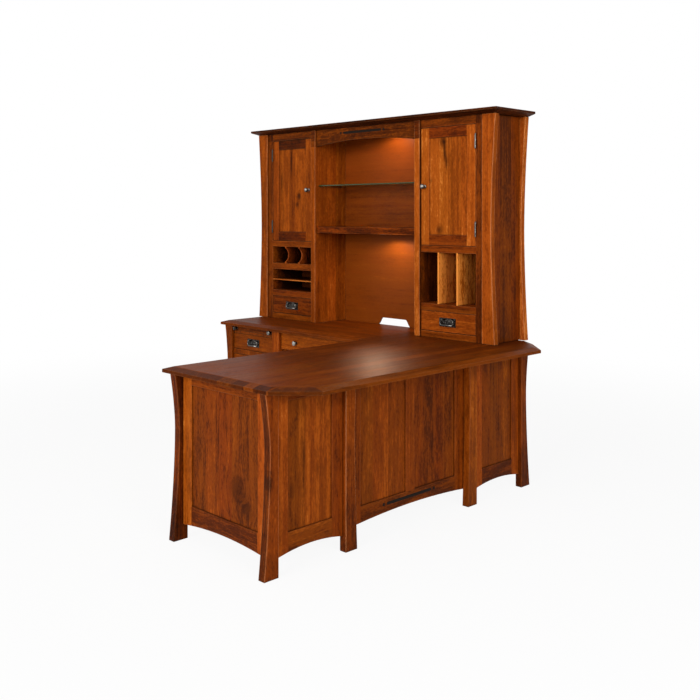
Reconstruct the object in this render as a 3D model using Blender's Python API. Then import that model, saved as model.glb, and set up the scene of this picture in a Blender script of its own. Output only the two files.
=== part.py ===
"""An L-shaped desk with a hutch, in metres, +Z up.

The desk wing runs along Y, with its visitor side at +X.  The credenza wing runs along X, with its back to
the wall at +Y, and butts against the desk top.  The hutch stands on the back of both tops.  The origin is
on the floor, in the middle of the object's box.
"""

import math

import bmesh
import bpy
import numpy as np
from mathutils import Vector

# Tops
DESK_HEIGHT = 0.762
TOP_THICK = 0.027
DESK_TOP_LENGTH = 1.822
DESK_TOP_WIDTH = 0.884
CREDENZA_TOP_LENGTH = 1.244
CREDENZA_TOP_DEPTH = 0.574
CORNER_CLIP = 0.154
TOP_BEVEL_WIDTH = 0.038
TOP_BEVEL_DROP = 0.012

# How far the tops reach past what carries them
VISITOR_OVERHANG = 0.171
USER_OVERHANG = 0.052
CREDENZA_OVERHANG = 0.021
FOOT_SETBACK = 0.001
CREDENZA_SETBACK = 0.013

# Legs: one straight edge, one hollow edge that swells to the foot and to the head
LEG_THICK = 0.038
LEG_FOOT = 0.075
LEG_WAIST = 0.044
LEG_HEAD = 0.069
KNEE_FOOT = 0.070
KNEE_WAIST = 0.056
KNEE_HEAD = 0.064
WAIST_HEIGHT = 0.490
FLARE_POWER = 1.7

# Pedestals, from foot tip to foot tip
PEDESTAL_WIDTH = 0.517
RETURN_WIDTH = 0.529
CREDENZA_PEDESTAL = 0.542

# Frames and panels
FRAME_THICK = 0.020
FRAME_RECESS = 0.018
STILE_WIDTH = 0.064
MUNTIN_WIDTH = 0.062
MODESTY_STILE = 0.090
TOP_RAIL = 0.045
BOTTOM_RAIL_TOP = 0.160
ARCH_SPRING = 0.067
MODESTY_SPRING = 0.079
ARCH_RISE = 0.021
PANEL_THICK = 0.010
PANEL_RECESS = 0.007

# Pedestal cases and their drawers
KNEE_RECESS = 0.018
CASE_BASE = 0.110
CASE_BACK = 0.010
CASE_RAIL = 0.030
SHELF_THICK = 0.018
BASE_RAIL_TOP = 0.204
RUNNER_INSET = 0.010
DESK_BOX_HEIGHT = 0.160
CREDENZA_BOX_HEIGHT = 0.100
BOARD_RAIL = 0.016
BOARD_HEAD_ROOM = 0.002
BOARD_THICK = 0.029
BOARD_DEPTH = 0.400
RETURN_WALL = 0.018
CREDENZA_BACK_THICK = 0.012
CREDENZA_BACK_BASE = 0.100
BOX_WALL = 0.012
BOX_FLOOR = 0.008
BOX_DROP = 0.018

# Pencil drawer across the credenza's kneehole
PENCIL_HEIGHT = 0.096
PENCIL_HEAD_ROOM = 0.008
PENCIL_DEPTH = 0.380
PENCIL_KNOB_INSET = 0.137
LEDGE_WIDTH = 0.030
LEDGE_THICK = 0.016

# Hutch
HUTCH_HEIGHT = 1.201
HUTCH_DEPTH = 0.304
HUTCH_BACK_OVERHANG = 0.040
HUTCH_LEFT_INSET = 0.008
HUTCH_RIGHT_INSET = 0.207
HUTCH_FACE_RECESS = 0.012
HUTCH_BACK_THICK = 0.010
HUTCH_BACK_SETBACK = 0.004
HUTCH_BACK_DROP = 0.003
POST_THICK = 0.032
POST_FOOT = 0.083
POST_WAIST = 0.059
POST_HEAD = 0.088
POST_WAIST_HEIGHT = 0.590
SIDE_THICK = 0.018
SIDE_RECESS = 0.012
PARTITION_THICK = 0.038
FACE_THICK = 0.020
FACE_STILE = 0.046
DOOR_OPENING = 0.380
DOOR_SPACE = 0.650
DOOR_RAIL = 0.037
HUTCH_BASE_RAIL = 0.036
HUTCH_DRAWER_HEIGHT = 0.112
HUTCH_RAIL = 0.039
LETTER_HEIGHT = 0.135
LETTER_SHELF = 0.006
DIVIDER_THICK = 0.010
SCOOP_RADIUS = 0.055
SCOOP_DEPTH = 0.030
HEADER_DROP = 0.102
HEADER_RISE = 0.026
SHELF_UNDER = 0.560
WOOD_SHELF_THICK = 0.040
GLASS_UNDER = 0.852
GLASS_THICK = 0.008
SHELF_SETBACK = 0.003
GLASS_SETBACK = 0.020
PEG_RADIUS = 0.003
PEG_LENGTH = 0.010
PEG_INSET = 0.040
CROWN_TIP = 0.012
CROWN_SLOPE = 0.015
CROWN_SIDE = 0.037
CROWN_FRONT = 0.040
CROWN_BACK = 0.012
NOTCH_WIDTH = 0.268
NOTCH_TOP_WIDTH = 0.186
NOTCH_HEIGHT = 0.044
NOTCH_SHIFT = 0.012

# Doors and their hinges
DOOR_THICK = 0.020
DOOR_STILE = 0.057
DOOR_PANEL_RECESS = 0.007
HINGE_RADIUS = 0.0045
HINGE_LENGTH = 0.065
HINGE_INSET = 0.090
HINGE_LEAF = 0.016
HINGE_LEAF_THICK = 0.002

# Knobs and bail pulls
KNOB_RADIUS = 0.0145
KNOB_LENGTH = 0.031
BOARD_KNOB_INSET = 0.029
DOOR_KNOB_INSET = 0.028
PULL_WIDTH = 0.112
PULL_HEIGHT = 0.046
PULL_THICK = 0.003
POST_PITCH = 0.056
PULL_POST = 0.009
PULL_POST_LENGTH = 0.016
BAIL_WIDTH = 0.088
BAIL_DROP = 0.030
BAIL_RADIUS = 0.003
BAIL_CORNER = 0.010
FILE_PULL_DROP = 0.070

# Clearances
GAP = 0.0003
REVEAL = 0.0025
RUN = 0.0005
SIDE_PLAY = 0.001
BACK_PLAY = 0.012
EMBED = 0.004
OVERCUT = 0.002
EASE = 0.0018

# Places worked out from the sizes: the object's box is centred on the origin
TOP_UNDER = DESK_HEIGHT - TOP_THICK
LEG_TOP = TOP_UNDER - GAP
CROWN_PAST_CREDENZA = max(0.0, CROWN_SIDE - HUTCH_LEFT_INSET)
OVERALL_X = DESK_TOP_WIDTH + CREDENZA_TOP_LENGTH + CROWN_PAST_CREDENZA
OVERALL_Y = DESK_TOP_LENGTH + HUTCH_BACK_OVERHANG + CROWN_BACK

X_RIGHT = OVERALL_X / 2
X_JOINT = X_RIGHT - DESK_TOP_WIDTH
X_LEFT = X_JOINT - CREDENZA_TOP_LENGTH
X_VISITOR = X_RIGHT - VISITOR_OVERHANG
X_USER = X_JOINT + USER_OVERHANG
Y_FRONT = -OVERALL_Y / 2
Y_WALL = Y_FRONT + DESK_TOP_LENGTH

# Desk legs: places of their straight edges, along Y
Y_END_LEG = Y_FRONT + FOOT_SETBACK + LEG_FOOT
Y_KNEE_LEG = Y_FRONT + FOOT_SETBACK + PEDESTAL_WIDTH - KNEE_FOOT
Y_BACK_LEG = Y_WALL - FOOT_SETBACK - LEG_FOOT
Y_RETURN_LEG = Y_WALL - FOOT_SETBACK - RETURN_WIDTH + KNEE_FOOT

# Faces of the frames and cases between those legs
Y_END_FACE = Y_END_LEG - LEG_WAIST + FRAME_RECESS
Y_CASE_KNEE = Y_KNEE_LEG + KNEE_WAIST - KNEE_RECESS
Y_RETURN_KNEE = Y_RETURN_LEG - KNEE_WAIST + KNEE_RECESS
Y_RETURN_WALL = Y_BACK_LEG + LEG_WAIST - KNEE_RECESS
X_BEHIND_VISITOR = X_VISITOR - LEG_THICK - GAP

# Credenza
Y_CREDENZA_LEG = Y_WALL - CREDENZA_TOP_DEPTH + CREDENZA_OVERHANG
Y_CREDENZA_FACE = Y_CREDENZA_LEG + FRAME_RECESS
Y_CREDENZA_BACK_LEG = Y_WALL - FOOT_SETBACK - LEG_THICK
X_LEFT_LEG = X_LEFT + CREDENZA_SETBACK + LEG_FOOT
X_CREDENZA_KNEE_LEG = X_LEFT + CREDENZA_SETBACK + CREDENZA_PEDESTAL - KNEE_FOOT
X_LEFT_FACE = X_LEFT_LEG - LEG_WAIST + FRAME_RECESS
X_CASE_KNEE = X_CREDENZA_KNEE_LEG + KNEE_WAIST - KNEE_RECESS
X_RETURN = X_JOINT - RETURN_WALL

# Hutch
HUTCH_LEFT = X_LEFT + HUTCH_LEFT_INSET
HUTCH_RIGHT = X_RIGHT - HUTCH_RIGHT_INSET
HUTCH_BACK = Y_WALL + HUTCH_BACK_OVERHANG
HUTCH_FRONT = HUTCH_BACK - HUTCH_DEPTH
HUTCH_FACE = HUTCH_FRONT + HUTCH_FACE_RECESS
HUTCH_BASE = DESK_HEIGHT + GAP
HUTCH_TOP = DESK_HEIGHT + HUTCH_HEIGHT
HUTCH_INNER_BACK = Y_WALL + HUTCH_BACK_SETBACK - GAP
SECTION_DEPTH = HUTCH_INNER_BACK - HUTCH_FACE
SECTION_WIDTH = FACE_STILE + DOOR_OPENING
SECTION_INSET = POST_FOOT + GAP
BAY_LEFT = HUTCH_LEFT + SECTION_INSET + SECTION_WIDTH + PARTITION_THICK + 2 * GAP
BAY_RIGHT = HUTCH_RIGHT - SECTION_INSET - SECTION_WIDTH - PARTITION_THICK - 2 * GAP
BAY_MIDDLE = (BAY_LEFT + BAY_RIGHT) / 2

# Heights of the hutch's openings above the tops
Z_DRAWER = DESK_HEIGHT + HUTCH_BASE_RAIL
Z_DRAWER_TOP = Z_DRAWER + HUTCH_DRAWER_HEIGHT
Z_LETTERS = Z_DRAWER_TOP + HUTCH_RAIL
Z_PIGEONS = Z_LETTERS + LETTER_HEIGHT + HUTCH_RAIL
Z_DOOR_TOP = HUTCH_TOP - GAP - TOP_RAIL
Z_DOOR = Z_DOOR_TOP - DOOR_SPACE
Z_CUBBY_TOP = Z_DOOR - DOOR_RAIL

# Heights of the pedestals' openings
Z_DESK_BOX_TOP = LEG_TOP - TOP_RAIL
Z_DESK_BOX = Z_DESK_BOX_TOP - DESK_BOX_HEIGHT
Z_BOARD = LEG_TOP - BOARD_THICK - BOARD_HEAD_ROOM
Z_CREDENZA_BOX_TOP = Z_BOARD - BOARD_RAIL
Z_CREDENZA_BOX = Z_CREDENZA_BOX_TOP - CREDENZA_BOX_HEIGHT
Z_PENCIL_TOP = LEG_TOP - PENCIL_HEAD_ROOM
Z_PENCIL = Z_PENCIL_TOP - PENCIL_HEIGHT

FRONT_THICK = LEG_THICK - FRAME_RECESS
FACING_USER = -math.pi / 2
SHARP_ANGLE = math.radians(40)


def clear_scene():
    for obj in list(bpy.data.objects):
        bpy.data.objects.remove(obj)


def finish(name, color, roughness, metallic=0.0):
    """A material with one Principled shader."""
    material = bpy.data.materials.new(name)
    material.use_nodes = True
    shader = material.node_tree.nodes["Principled BSDF"]
    shader.inputs["Base Color"].default_value = (*color, 1.0)
    shader.inputs["Roughness"].default_value = roughness
    shader.inputs["Metallic"].default_value = metallic
    return material


def group(name):
    """An empty at the origin that carries one unit of the desk."""
    empty = bpy.data.objects.new(name, None)
    bpy.context.scene.collection.objects.link(empty)
    return empty


def boxes(*corners):
    """One mesh of separate boxes, each from its lowest and highest corner."""
    bm = bmesh.new()
    for low, high in corners:
        low, high = Vector(low), Vector(high)
        corner = bmesh.ops.create_cube(bm, size=1.0)["verts"]
        bmesh.ops.scale(bm, vec=high - low, verts=corner)
        bmesh.ops.translate(bm, vec=(low + high) / 2, verts=corner)
    return bm


def lofted(loops):
    """A closed skin through loops of equally many points, with a flat cap on the first and the last."""
    bm = bmesh.new()
    rings = [[bm.verts.new(point) for point in loop] for loop in loops]
    for lower, upper in zip(rings, rings[1:]):
        for i in range(len(lower)):
            bm.faces.new((lower[i - 1], lower[i], upper[i], upper[i - 1]))
    bm.faces.new(rings[0])
    bm.faces.new(rings[-1])
    bmesh.ops.recalc_face_normals(bm, faces=bm.faces)
    return bm


def across(axis, point, along):
    """A point of a flat outline, set in space at a place along the axis that the outline is square to."""
    a, b = point
    return {"X": (along, a, b), "Y": (a, along, b), "Z": (a, b, along)}[axis]


def prism(outline, axis, low, high):
    """A flat outline carried along one axis."""
    return lofted([[across(axis, point, along) for point in outline] for along in (low, high)])


def windowed(outline, windows, axis, low, high):
    """A flat outline with rectangular windows, carried along one axis."""
    bm = bmesh.new()
    loops = [outline]
    for (a0, b0), (a1, b1) in windows:
        loops.append([(a0, b0), (a1, b0), (a1, b1), (a0, b1)])
    for loop in loops:
        ring = [bm.verts.new(across(axis, point, low)) for point in loop]
        for i in range(len(ring)):
            bm.edges.new((ring[i - 1], ring[i]))
    bmesh.ops.triangle_fill(bm, use_beauty=True, edges=bm.edges)
    skin = bmesh.ops.extrude_face_region(bm, geom=list(bm.faces))["geom"]
    moved = [item for item in skin if isinstance(item, bmesh.types.BMVert)]
    bmesh.ops.translate(bm, vec=across(axis, (0.0, 0.0), high - low), verts=moved)
    bmesh.ops.recalc_face_normals(bm, faces=bm.faces)
    return bm


def turned(profile, middle, segments=20):
    """A profile of (radius, reach) turned about a line that runs towards -Y from the middle point."""
    x, y, z = middle
    turn = np.linspace(0.0, 2 * math.pi, segments, endpoint=False)
    loops = []
    for radius, reach in profile:
        across_x, up = x + radius * np.cos(turn), z + radius * np.sin(turn)
        ring = np.stack([across_x, np.full(segments, y - reach), up], 1)
        loops.append(ring.tolist())
    return lofted(loops)


def rod(middle, axis, radius, length, segments=12):
    """A plain round rod centred on a point, along X or Z."""
    x, y, z = middle
    turn = np.linspace(0.0, 2 * math.pi, segments, endpoint=False)
    if axis == "X":
        outline = [(y + radius * math.cos(t), z + radius * math.sin(t)) for t in turn]
        along = x
    else:
        outline = [(x + radius * math.cos(t), y + radius * math.sin(t)) for t in turn]
        along = z
    return prism(outline, axis, along - length / 2, along + length / 2)


def solid(name, bm, material, parent, where=None, turn=0.0):
    """An object from a mesh.  With no place given, its origin goes to the middle of its underside."""
    mesh = bpy.data.meshes.new(name)
    if where is None:
        corners = np.array([vert.co for vert in bm.verts])
        middle = (corners.min(0) + corners.max(0)) / 2
        where = Vector((middle[0], middle[1], corners[:, 2].min()))
        bmesh.ops.translate(bm, vec=-where, verts=bm.verts)
    bm.to_mesh(mesh)
    bm.free()
    mesh.materials.append(material)
    obj = bpy.data.objects.new(name, mesh)
    bpy.context.scene.collection.objects.link(obj)
    obj.parent = parent
    obj.location = where
    obj.rotation_euler.z = turn
    return obj


def eased(obj, face=None):
    """Breaks the outward edges of a board, or only those that lie in its face, at one local Y.

    The inner corners of a window stay sharp.
    """
    bm = bmesh.new()
    bm.from_mesh(obj.data)
    weight = bm.edges.layers.float.new("bevel_weight_edge")
    for edge in bm.edges:
        chosen = face is None or all(abs(v.co.y - face) < GAP for v in edge.verts)
        if chosen and edge.is_convex and edge.calc_face_angle(0.0) > SHARP_ANGLE:
            edge[weight] = 1.0
    bm.to_mesh(obj.data)
    bm.free()
    bevel = obj.modifiers.new("eased edges", "BEVEL")
    bevel.width = EASE
    bevel.segments = 1
    bevel.limit_method = "WEIGHT"
    return obj


def combine(obj, bm, operation):
    """Cuts a helper mesh from an object, or joins it on.  The helper shares the object's own frame."""
    label = f"{obj.name}_{operation.lower()}_{len(obj.modifiers)}"
    mesh = bpy.data.meshes.new(label)
    bm.to_mesh(mesh)
    bm.free()
    helper = bpy.data.objects.new(label, mesh)
    bpy.context.scene.collection.objects.link(helper)
    helper.parent = obj
    helper.hide_render = True
    helper.display_type = "WIRE"
    boolean = obj.modifiers.new(label, "BOOLEAN")
    boolean.operation = operation
    boolean.object = helper


def board(name, low, high, material, parent):
    return eased(solid(name, boxes((low, high)), material, parent))


def hollow_edge(straight, outward, sizes, waist_height, base, top):
    """Outline (across, up) of a leg or a post: a straight edge, and a hollow one that flares at both ends."""
    foot, waist, head = sizes
    steps = 9
    lower = np.linspace(0.0, waist_height, steps)
    upper = np.linspace(waist_height, top - base, steps)[1:]
    below = waist + (foot - waist) * (1 - lower / waist_height) ** FLARE_POWER
    above = waist + (head - waist) * ((upper - waist_height) / (top - base - waist_height)) ** FLARE_POWER
    rise = np.concatenate([lower, upper]) + base
    reach = straight + outward * np.concatenate([below, above])
    return [(straight, base), *zip(reach.tolist(), rise.tolist()), (straight, top)]


def arched(low, high, spring, rise, top):
    """Outline (across, up) of a board whose underside is a shallow arch."""
    place = np.linspace(low, high, 13)
    share = (place - low) / (high - low)
    arch = spring + 4 * rise * share * (1 - share)
    return [*zip(place.tolist(), arch.tolist()), (high, top), (low, top)]


def offset_outline(outline, insets):
    """The outline with each side moved inwards by its own amount.  Side i runs from point i to the next."""
    points = np.array(outline)
    along = np.roll(points, -1, axis=0) - points
    along /= np.linalg.norm(along, axis=1)[:, None]
    inward = np.stack([-along[:, 1], along[:, 0]], 1)
    level = (points * inward).sum(1) + np.array(insets)
    moved = []
    for i in range(len(points)):
        moved.append(np.linalg.solve(np.stack([inward[i - 1], inward[i]]), [level[i - 1], level[i]]).tolist())
    return moved


def bevelled_top(name, outline, shaped, material, parent, where=None):
    """A top whose shaped sides have a wide slope above a narrow upright edge."""
    insets = [TOP_BEVEL_WIDTH if side else 0.0 for side in shaped]
    upper = offset_outline(outline, insets)
    edge = DESK_HEIGHT - TOP_BEVEL_DROP
    loops = [
        [(x, y, TOP_UNDER) for x, y in outline],
        [(x, y, edge) for x, y in outline],
        [(x, y, DESK_HEIGHT) for x, y in upper],
    ]
    return solid(name, lofted(loops), material, parent, where)


def tops(paint, desk, credenza):
    clip = CORNER_CLIP
    outline = [
        (X_JOINT, Y_FRONT),
        (X_RIGHT - clip, Y_FRONT),
        (X_RIGHT, Y_FRONT + clip),
        (X_RIGHT, Y_WALL - clip),
        (X_RIGHT - clip, Y_WALL),
        (X_JOINT, Y_WALL),
    ]
    obj = bevelled_top("desk_top", outline, (1, 1, 1, 1, 0, 0), paint["top"], desk, (0, 0, 0))
    front = Y_WALL - CREDENZA_TOP_DEPTH
    run, drop = TOP_BEVEL_WIDTH, TOP_BEVEL_DROP
    slope = [
        (X_JOINT - run, DESK_HEIGHT - 2 * drop),
        (X_JOINT + 2 * run, DESK_HEIGHT + drop),
        (X_JOINT - run, DESK_HEIGHT + drop),
    ]
    combine(obj, prism(slope, "Y", Y_FRONT - run, front), "DIFFERENCE")
    butt = X_JOINT - GAP
    outline = [(X_LEFT, front), (butt, front), (butt, Y_WALL), (X_LEFT, Y_WALL)]
    bevelled_top("credenza_top", outline, (1, 0, 0, 1), paint["top"], credenza)


def leg(name, axis, face, straight, outward, sizes, paint, parent):
    """A leg whose outline lies square to an axis, from its outer face inwards along that axis."""
    outline = hollow_edge(straight, outward, sizes, WAIST_HEIGHT, 0.0, LEG_TOP)
    return eased(solid(name, prism(outline, axis, face, face + LEG_THICK), paint["leg"], parent))


def legs(paint, desk, credenza):
    end = (LEG_FOOT, LEG_WAIST, LEG_HEAD)
    knee = (KNEE_FOOT, KNEE_WAIST, KNEE_HEAD)
    visitor = X_VISITOR - LEG_THICK
    leg("desk_leg_end_user", "X", X_USER, Y_END_LEG, -1, end, paint, desk)
    leg("desk_leg_end_visitor", "X", visitor, Y_END_LEG, -1, end, paint, desk)
    leg("desk_leg_knee_user", "X", X_USER, Y_KNEE_LEG, 1, knee, paint, desk)
    leg("desk_leg_knee_visitor", "X", visitor, Y_KNEE_LEG, 1, knee, paint, desk)
    leg("desk_leg_return_knee", "X", visitor, Y_RETURN_LEG, -1, knee, paint, desk)
    leg("desk_leg_return_back", "X", visitor, Y_BACK_LEG, 1, end, paint, desk)
    front, back = Y_CREDENZA_LEG, Y_CREDENZA_BACK_LEG
    leg("credenza_leg_front_end", "Y", front, X_LEFT_LEG, -1, end, paint, credenza)
    leg("credenza_leg_back_end", "Y", back, X_LEFT_LEG, -1, end, paint, credenza)
    leg("credenza_leg_front_knee", "Y", front, X_CREDENZA_KNEE_LEG, 1, knee, paint, credenza)
    leg("credenza_leg_back_knee", "Y", back, X_CREDENZA_KNEE_LEG, 1, knee, paint, credenza)


def frame_and_panels(name, axis, face, inward, span, spring, stile, panels, paint, parent):
    """A frame with an arched bottom rail, and the flat panels in its windows.

    The face is the outer one, inward is the sign of the way into the desk, and the span runs between the
    pieces that hold the frame.
    """
    low, high = span[0] + GAP, span[1] - GAP
    count = len(panels)
    window = (high - low - 2 * stile - (count - 1) * MUNTIN_WIDTH) / count
    starts = [low + stile + i * (window + MUNTIN_WIDTH) for i in range(count)]
    sill, lintel = BOTTOM_RAIL_TOP, LEG_TOP - TOP_RAIL
    windows = [((start, sill), (start + window, lintel)) for start in starts]
    outline = arched(low, high, spring, ARCH_RISE, LEG_TOP)
    near, far = sorted((face, face + inward * FRAME_THICK))
    eased(solid(name, windowed(outline, windows, axis, near, far), paint["frame"], parent))
    front = face + inward * PANEL_RECESS
    near, far = sorted((front, front + inward * PANEL_THICK))
    for label, start in zip(panels, starts):
        lower = across(axis, (start + GAP, sill + GAP), near)
        upper = across(axis, (start + window - GAP, lintel - GAP), far)
        solid(label, boxes((lower, upper)), paint["panel"], parent)


def frames(paint, desk, credenza):
    side = X_VISITOR - FRAME_RECESS
    low = (ARCH_SPRING, STILE_WIDTH)
    span = (X_USER + LEG_THICK, X_VISITOR - LEG_THICK)
    frame_and_panels("end_frame", "Y", Y_END_FACE, 1, span, *low, ["end_panel"], paint, desk)
    span = (Y_END_LEG, Y_KNEE_LEG)
    frame_and_panels("side_frame", "X", side, -1, span, *low, ["side_panel"], paint, desk)
    span = (Y_CASE_KNEE, Y_RETURN_KNEE)
    high = (MODESTY_SPRING, MODESTY_STILE)
    labels = ["modesty_panel_front", "modesty_panel_back"]
    frame_and_panels("modesty_frame", "X", X_BEHIND_VISITOR, -1, span, *high, labels, paint, desk)
    span = (Y_RETURN_LEG, Y_BACK_LEG)
    frame_and_panels("return_frame", "X", side, -1, span, *low, ["return_panel"], paint, desk)
    span = (Y_CREDENZA_LEG + LEG_THICK, Y_CREDENZA_BACK_LEG)
    label = "credenza_end_frame"
    frame_and_panels(label, "X", X_LEFT_FACE, 1, span, *low, ["credenza_end_panel"], paint, credenza)


def return_case(paint, desk):
    """Three walls that close the corner.  The inner one stands on the floor under the tops' joint."""
    wall = RETURN_WALL
    inner, outer = X_RETURN, X_BEHIND_VISITOR
    knee, back = Y_RETURN_KNEE, Y_RETURN_WALL
    outline = [
        (inner, knee),
        (outer, knee),
        (outer, knee + wall),
        (inner + wall, knee + wall),
        (inner + wall, back - wall),
        (outer, back - wall),
        (outer, back),
        (inner, back),
    ]
    obj = solid("return_case", prism(outline, "Z", CASE_BASE, LEG_TOP), paint["inside"], desk, (0, 0, 0))
    combine(obj, boxes(((inner, knee, 0.0), (inner + wall, back, CASE_BASE + EMBED))), "UNION")
    low = (inner - LEDGE_WIDTH, knee + wall, Z_PENCIL - LEDGE_THICK)
    high = (inner + wall / 2, back - wall, Z_PENCIL)
    combine(obj, boxes((low, high)), "UNION")


def pedestal_case(name, between, sides, depth, openings, where, turn, paint, parent):
    """A carcass behind two legs, in a frame whose y runs inwards from the face of its rails.

    between is the room between the legs, sides are the carcass's two outer faces across, and openings are
    (bottom, top) pairs from the lowest up.
    """
    half = between / 2
    behind = FRONT_THICK + GAP
    left, right = sides
    obj = solid(name, boxes(((left, behind, CASE_BASE), (right, depth, LEG_TOP))), paint["inside"], parent,
                where, turn)
    rails = []
    below = CASE_BASE
    for bottom, top in openings:
        rails.append(((GAP - half, 0.0, below), (half - GAP, behind + EMBED, bottom)))
        below = top
    if LEG_TOP - below > CASE_BACK:
        rails.append(((GAP - half, 0.0, below), (half - GAP, behind + EMBED, LEG_TOP)))
    combine(obj, boxes(*rails), "UNION")
    cuts = []
    for i, (bottom, top) in enumerate(openings):
        above = openings[i + 1][0] if i + 1 < len(openings) else LEG_TOP
        roof = max(top, above - SHELF_THICK) if above - top > CASE_BACK else LEG_TOP + OVERCUT
        if i + 1 < len(openings) and above - top <= CASE_BACK + OVERCUT:
            roof = top
        cuts.append(((RUNNER_INSET - half, behind - OVERCUT, bottom),
                     (half - RUNNER_INSET, depth - CASE_BACK, roof)))
    combine(obj, boxes(*cuts), "DIFFERENCE")
    return obj


def knob(middle):
    """A turned knob that stands on a front face and reaches towards -Y."""
    r, reach = KNOB_RADIUS, KNOB_LENGTH
    neck = r * 0.42
    profile = [
        (r * 0.62, 0.0),
        (r * 0.62, reach * 0.08),
        (neck, reach * 0.18),
        (neck, reach * 0.40),
        (r * 0.86, reach * 0.58),
        (r, reach * 0.74),
        (r * 0.86, reach * 0.90),
        (r * 0.45, reach * 0.985),
        (r * 0.10, reach),
    ]
    return turned(profile, middle)


def bail(name, middle, paint, parent):
    """The swinging bail of a pull: a round rod bent down, across and up again, hung between two posts."""
    half = BAIL_WIDTH / 2
    inner = POST_PITCH / 2 + PULL_POST / 2 + GAP
    corner = min(BAIL_CORNER, half - inner - GAP)
    bend = np.linspace(0.0, math.pi / 2, 4)
    upper = [(half - corner + corner * math.sin(t), -corner + corner * math.cos(t)) for t in bend]
    lower = [(half - corner + corner * math.cos(t), corner - BAIL_DROP - corner * math.sin(t)) for t in bend]
    right = [(inner, 0.0), *upper, *lower]
    path = right + [(-x, z) for x, z in reversed(right)]
    curve = bpy.data.curves.new(name, "CURVE")
    curve.dimensions = "3D"
    curve.bevel_depth = BAIL_RADIUS
    curve.bevel_resolution = 1
    curve.use_fill_caps = True
    spline = curve.splines.new("POLY")
    spline.points.add(len(path) - 1)
    for point, (x, z) in zip(spline.points, path):
        point.co = (x, 0.0, z, 1.0)
    curve.materials.append(paint["bronze"])
    obj = bpy.data.objects.new(name, curve)
    bpy.context.scene.collection.objects.link(obj)
    obj.parent = parent
    obj.location = middle
    return obj


def pull(drawer, name, height, paint):
    """A plate with two posts on a drawer's front, and the bail that hangs from the posts."""
    half_w, half_h = PULL_WIDTH / 2, PULL_HEIGHT / 2
    plate = ((-half_w, -PULL_THICK, height - half_h), (half_w, EMBED, height + half_h))
    combine(drawer, boxes(plate), "UNION")
    pivot = height + BAIL_DROP / 2
    posts = []
    for x in (-POST_PITCH / 2, POST_PITCH / 2):
        low = (x - PULL_POST / 2, -PULL_POST_LENGTH, pivot - PULL_POST / 2)
        posts.append((low, (x + PULL_POST / 2, 0.0, pivot + PULL_POST / 2)))
    combine(drawer, boxes(*posts), "UNION")
    bail(name, (0.0, PULL_POST / 2 - PULL_POST_LENGTH, pivot), paint, drawer)


def drawer(name, width, opening, depth, where, turn, paint, parent):
    """An inset drawer: its front board and the open box behind it, in a frame at the opening's sill."""
    height = opening[1] - opening[0]
    half = width / 2 - REVEAL
    inner = width / 2 - RUNNER_INSET - SIDE_PLAY
    place = (*where, opening[0])
    front = ((-half, 0.0, REVEAL), (half, FRONT_THICK, height - REVEAL))
    obj = eased(solid(name, boxes(front), paint["front"], parent, place, turn), 0.0)
    rim = height - BOX_DROP
    back = depth - BACK_PLAY
    combine(obj, boxes(((-inner, FRONT_THICK - EMBED, RUN), (inner, back, rim))), "UNION")
    low = (BOX_WALL - inner, FRONT_THICK, RUN + BOX_FLOOR)
    combine(obj, boxes((low, (inner - BOX_WALL, back - BOX_WALL, height))), "DIFFERENCE")
    return obj


def desk_pedestal(paint, desk):
    between = Y_KNEE_LEG - Y_END_LEG
    middle = (Y_KNEE_LEG + Y_END_LEG) / 2
    face = X_USER + FRAME_RECESS
    sides = (middle - Y_CASE_KNEE, middle - Y_END_FACE - FRAME_THICK - GAP)
    depth = X_BEHIND_VISITOR - face
    box = (Z_DESK_BOX, Z_DESK_BOX_TOP)
    file = (BASE_RAIL_TOP, Z_DESK_BOX - CASE_RAIL)
    place = (face, middle)
    pedestal_case("desk_case", between, sides, depth, [file, box], (*place, 0.0), FACING_USER, paint, desk)
    room = depth - CASE_BACK
    obj = drawer("desk_box_drawer", between, box, room, place, FACING_USER, paint, desk)
    pull(obj, "desk_box_bail", DESK_BOX_HEIGHT / 2, paint)
    obj = drawer("desk_file_drawer", between, file, room, place, FACING_USER, paint, desk)
    pull(obj, "desk_file_bail", file[1] - file[0] - FILE_PULL_DROP, paint)


def credenza_pedestal(paint, credenza):
    between = X_CREDENZA_KNEE_LEG - X_LEFT_LEG
    middle = (X_CREDENZA_KNEE_LEG + X_LEFT_LEG) / 2
    sides = (X_LEFT_FACE + FRAME_THICK + GAP - middle, X_CASE_KNEE - middle)
    depth = Y_CREDENZA_BACK_LEG - GAP - Y_CREDENZA_FACE
    box = (Z_CREDENZA_BOX, Z_CREDENZA_BOX_TOP)
    file = (BASE_RAIL_TOP, Z_CREDENZA_BOX - CASE_RAIL)
    slot = (Z_BOARD, LEG_TOP)
    place = (middle, Y_CREDENZA_FACE)
    obj = pedestal_case("credenza_case", between, sides, depth, [file, box, slot], (*place, 0.0), 0.0, paint,
                        credenza)
    low = (sides[1] - RUNNER_INSET, FRONT_THICK + GAP, Z_PENCIL - LEDGE_THICK)
    high = (sides[1] + KNEE_RECESS + LEDGE_WIDTH, FRONT_THICK + PENCIL_DEPTH, Z_PENCIL)
    combine(obj, boxes((low, high)), "UNION")
    room = depth - CASE_BACK
    obj = drawer("credenza_box_drawer", between, box, room, place, 0.0, paint, credenza)
    pull(obj, "credenza_box_bail", CREDENZA_BOX_HEIGHT / 2, paint)
    obj = drawer("credenza_file_drawer", between, file, room, place, 0.0, paint, credenza)
    pull(obj, "credenza_file_bail", file[1] - file[0] - FILE_PULL_DROP, paint)
    writing_board(between, place, paint, credenza)


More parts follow.
